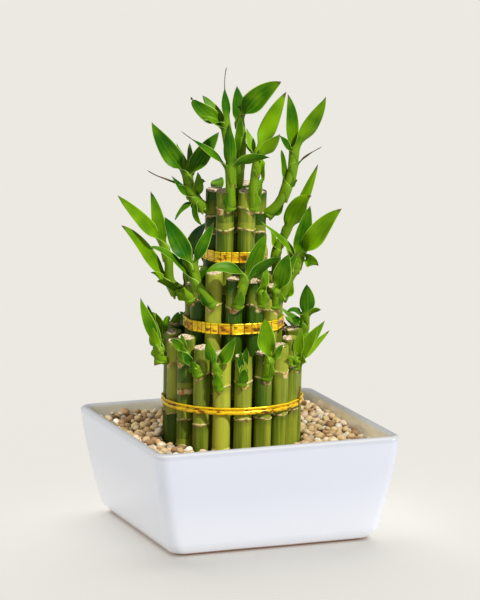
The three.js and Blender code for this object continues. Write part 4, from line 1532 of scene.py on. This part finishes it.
def gilt_finish():
    """Painted highlights at the edges and towards the top, each crimped facet painted lighter or darker as it
    catches the light, and painted shade in streaks and in a dark line between two facets.
    """
    finish = Finish("gilt")
    place = finish.place()
    cell = finish.attribute("cell")
    level = finish.attribute("level")
    rim = finish.smooth(finish.maths("ABSOLUTE", level), 0.55, 0.8)
    beat = finish.maths("ABSOLUTE", finish.maths("FRACT", cell) - 0.5) * 2
    number = finish.maths("FLOOR", cell)
    facet = finish.node("ShaderNodeTexWhiteNoise", {"W": number}, noise_dimensions="1D")
    creases = finish.cloud(finish.stretched(place, (1.0, 1.0, 2.4)), 210.0)
    fine = finish.cloud(place, 1500.0)
    # painted highlight at the band's edges, towards its top and on some facets, mixed with a random tone
    tone_and_painted_glint = finish.smooth(facet * 0.5 + creases + rim * 0.3 + level * 0.12, 0.5, 0.95)
    out_of_painted_shade = finish.smooth(creases + rim * 0.3 + facet * 0.1, 0.42, 0.54)
    finish.set(Base_Color=finish.coat(
        finish.mix(tone_and_painted_glint, GILT_AMBER, GILT_BRIGHT),
        # painted shade in streaks along the creases
        ((1 - out_of_painted_shade) * 0.85, GILT_PAINTED_SHADE),
        # painted shade: a dark line where two facets meet
        (finish.smooth(beat, 0.8, 0.95) * 0.8, GILT_PAINTED_SHADE),
    ))
    finish.set(Metallic=0.45, Roughness=0.22 + fine * 0.16)
    finish.bump(creases + fine * 0.2, 0.4 * MM, 0.5)
    return finish.material


# %% Winding the ties
CRIMP_LONG = 5.0
TIE_WEAR = 0.4 * MM

# Strands: rise, stand-off, height, depth and crimp in millimetres, then the level that the shader reads, from
# 0 in the middle to 1 or -1 at an edge. A strand with no level of its own is shaded by its points' heights.
# The shader paints a highlight where the level is high or near an edge, so each strand's level sets how
# bright it is painted.
BAND = {
    "band": (0.0, 0.35, 5.6, 0.7, 0.45, None),
    "wire_low": (-2.9, 0.5, 1.0, 1.0, 0.3, -1.0),
    "wire_high": (2.9, 0.5, 1.0, 1.0, 0.3, 1.0),
}
STRANDS = {
    "tie_lower": {
        "wire_1": (-1.2, 0.55, 2.3, 0.9, 0.0, 0.58),
        "wire_2": (0.45, 0.0, 1.2, 0.9, 0.0, 0.01),
        "wire_3": (1.5, 0.55, 1.2, 0.9, 0.0, 1.2),
    },
    "tie_middle": BAND,
    "tie_upper": BAND,
}
TAIL_FROM = 70
TAIL_BEARING = 62
TAIL_LONG = 10
TAIL_OUT = 1.2
TAIL_TURNS = 1.8
TAIL_THICK = 0.55


def show_strand(node, name, tree):
    """One ribbon or wire round a tier."""
    rise, stand_off, tall, deep, crimp, level = STRANDS[node][name]
    tie = TIES[node]
    path = tie_path(tie, stand_off, rise)
    cells = round(len(path) * PATH_STEP / CRIMP_LONG) if crimp else 0
    label = f"{node}_{name}"
    strand = grow(label, loop_mesh(label, path, cells), tree, {
        "Tall": tall * MM, "Deep": deep * MM, "Crimp Depth": crimp * MM, "Unevenness": TIE_WEAR,
    })
    half = tall / 2 * MM
    middle = (tie["height"] + rise) * MM
    levels = [(point.co.z - middle) / half if level is None else level for point in strand.vertices]
    store(strand, "level", levels)
    show(label, strand, "gilt", node)


def tail_mesh(name, tree, phase):
    """One of the two wire ends that are twisted together."""
    out = bearing(TAIL_BEARING)
    side = bearing(TAIL_BEARING + 90)
    tie = TIES["tie_lower"]
    tier = TIERS[tie["tier"]]
    start = bearing(TAIL_FROM) * tier["ring"] + out * (tier["radius"] + TIE_CLEAR + 0.7)
    start += Vector((lean_at(tie["height"]), 0, tie["height"] - 1))
    points = []
    thick = []
    for t in even(0, 1, 26):
        turn = TAIL_TURNS * 2 * math.pi * t + phase
        middle = start + Vector((0, 0, (TAIL_LONG + 1) * t)) + out * TAIL_OUT * t
        points.append(into_pot(middle + (out * math.cos(turn) + side * math.sin(turn)) * TAIL_THICK))
        thick.append(TAIL_THICK * (1 - 0.5 * t) * MM)
    tail = grow(name, line_mesh(name, points, thick), tree, {"Sides": 8, "Unevenness": 0.1 * MM})
    # full level: the tails get the brightest painted highlight
    store(tail, "level", [1.0] * len(tail.vertices))
    return tail


def add_strands(node, tree):
    """Every ribbon and wire of one tie."""
    for name in STRANDS[node]:
        show_strand(node, name, tree)


def add_tails(tree):
    """The lowest tie's two twisted ends."""
    for number, phase in enumerate((0, math.pi), 1):
        name = f"tie_lower_tail_{number}"
        show(name, tail_mesh(name, tree, phase), "gilt", "tie_lower")


def add_ties():
    """The three ties, from the lowest up."""
    gilt = gilt_finish()
    wind = strand_tree(gilt)
    add_strands("tie_lower", wind)
    add_tails(sweep_tree("sweep_twist", gilt))
    add_strands("tie_middle", wind)
    add_strands("tie_upper", wind)
    print(len(TIES), "ties")


add_ties()

# %% [markdown]
# A real studio shades each thing by itself with cards and flags. Suns that light only chosen pieces do the
# same. A strong one from the front right and above draws the leaf shadows on the canes, and the stones get
# their own from the same side and a soft one from the left. Three mild ones give the white pot its greys, and
# one from behind lays the soft shadow on the floor in front. One sun for all would burn out the pot before
# the leaves shine.

# %% Suns
SUNS = {
    "key": {"turn": 40, "rise": 50, "strength": 4.4, "spread": 3, "all_but": [FLOOR, POT, *STONES]},
    "stones_key": {"turn": 40, "rise": 50, "strength": 3.3, "spread": 3, "only": STONES},
    "stones_fill": {"turn": -70, "rise": 45, "strength": 2.1, "spread": 60, "only": STONES},
    "pot_right": {"turn": 68, "rise": 4, "strength": 2.0, "spread": 20, "only": [POT]},
    "pot_left": {"turn": -105, "rise": 4, "strength": 0.2, "spread": 40, "only": [POT]},
    "pot_inside": {"turn": -30, "rise": 42, "strength": 0.95, "spread": 60, "only": [POT]},
    "floor_soft": {"turn": 180, "rise": 54, "strength": 1.45, "spread": 64, "only": [FLOOR]},
}


def add_sun(name, plan):
    """A sun at a bearing from the camera that lights only some pieces, or all but some."""
    toward = direction(VIEW_TURN + math.radians(plan["turn"]), math.radians(plan["rise"]))
    lamp = bpy.data.lights.new(name, "SUN")
    lamp.energy = plan["strength"]
    lamp.angle = math.radians(plan["spread"])
    holder = bpy.data.objects.new(name, lamp)
    holder.rotation_euler = toward.to_track_quat("Z", "Y").to_euler()
    bpy.context.scene.collection.objects.link(holder)
    group = bpy.data.collections.new("pieces_of_" + name)
    for piece in plan.get("only", plan.get("all_but")):
        group.objects.link(piece)
    for entry in group.collection_objects:
        entry.light_linking.link_state = "INCLUDE" if "only" in plan else "EXCLUDE"
    holder.light_linking.receiver_collection = group


for name, plan in SUNS.items():
    add_sun(name, plan)
print(len(SUNS), "suns")
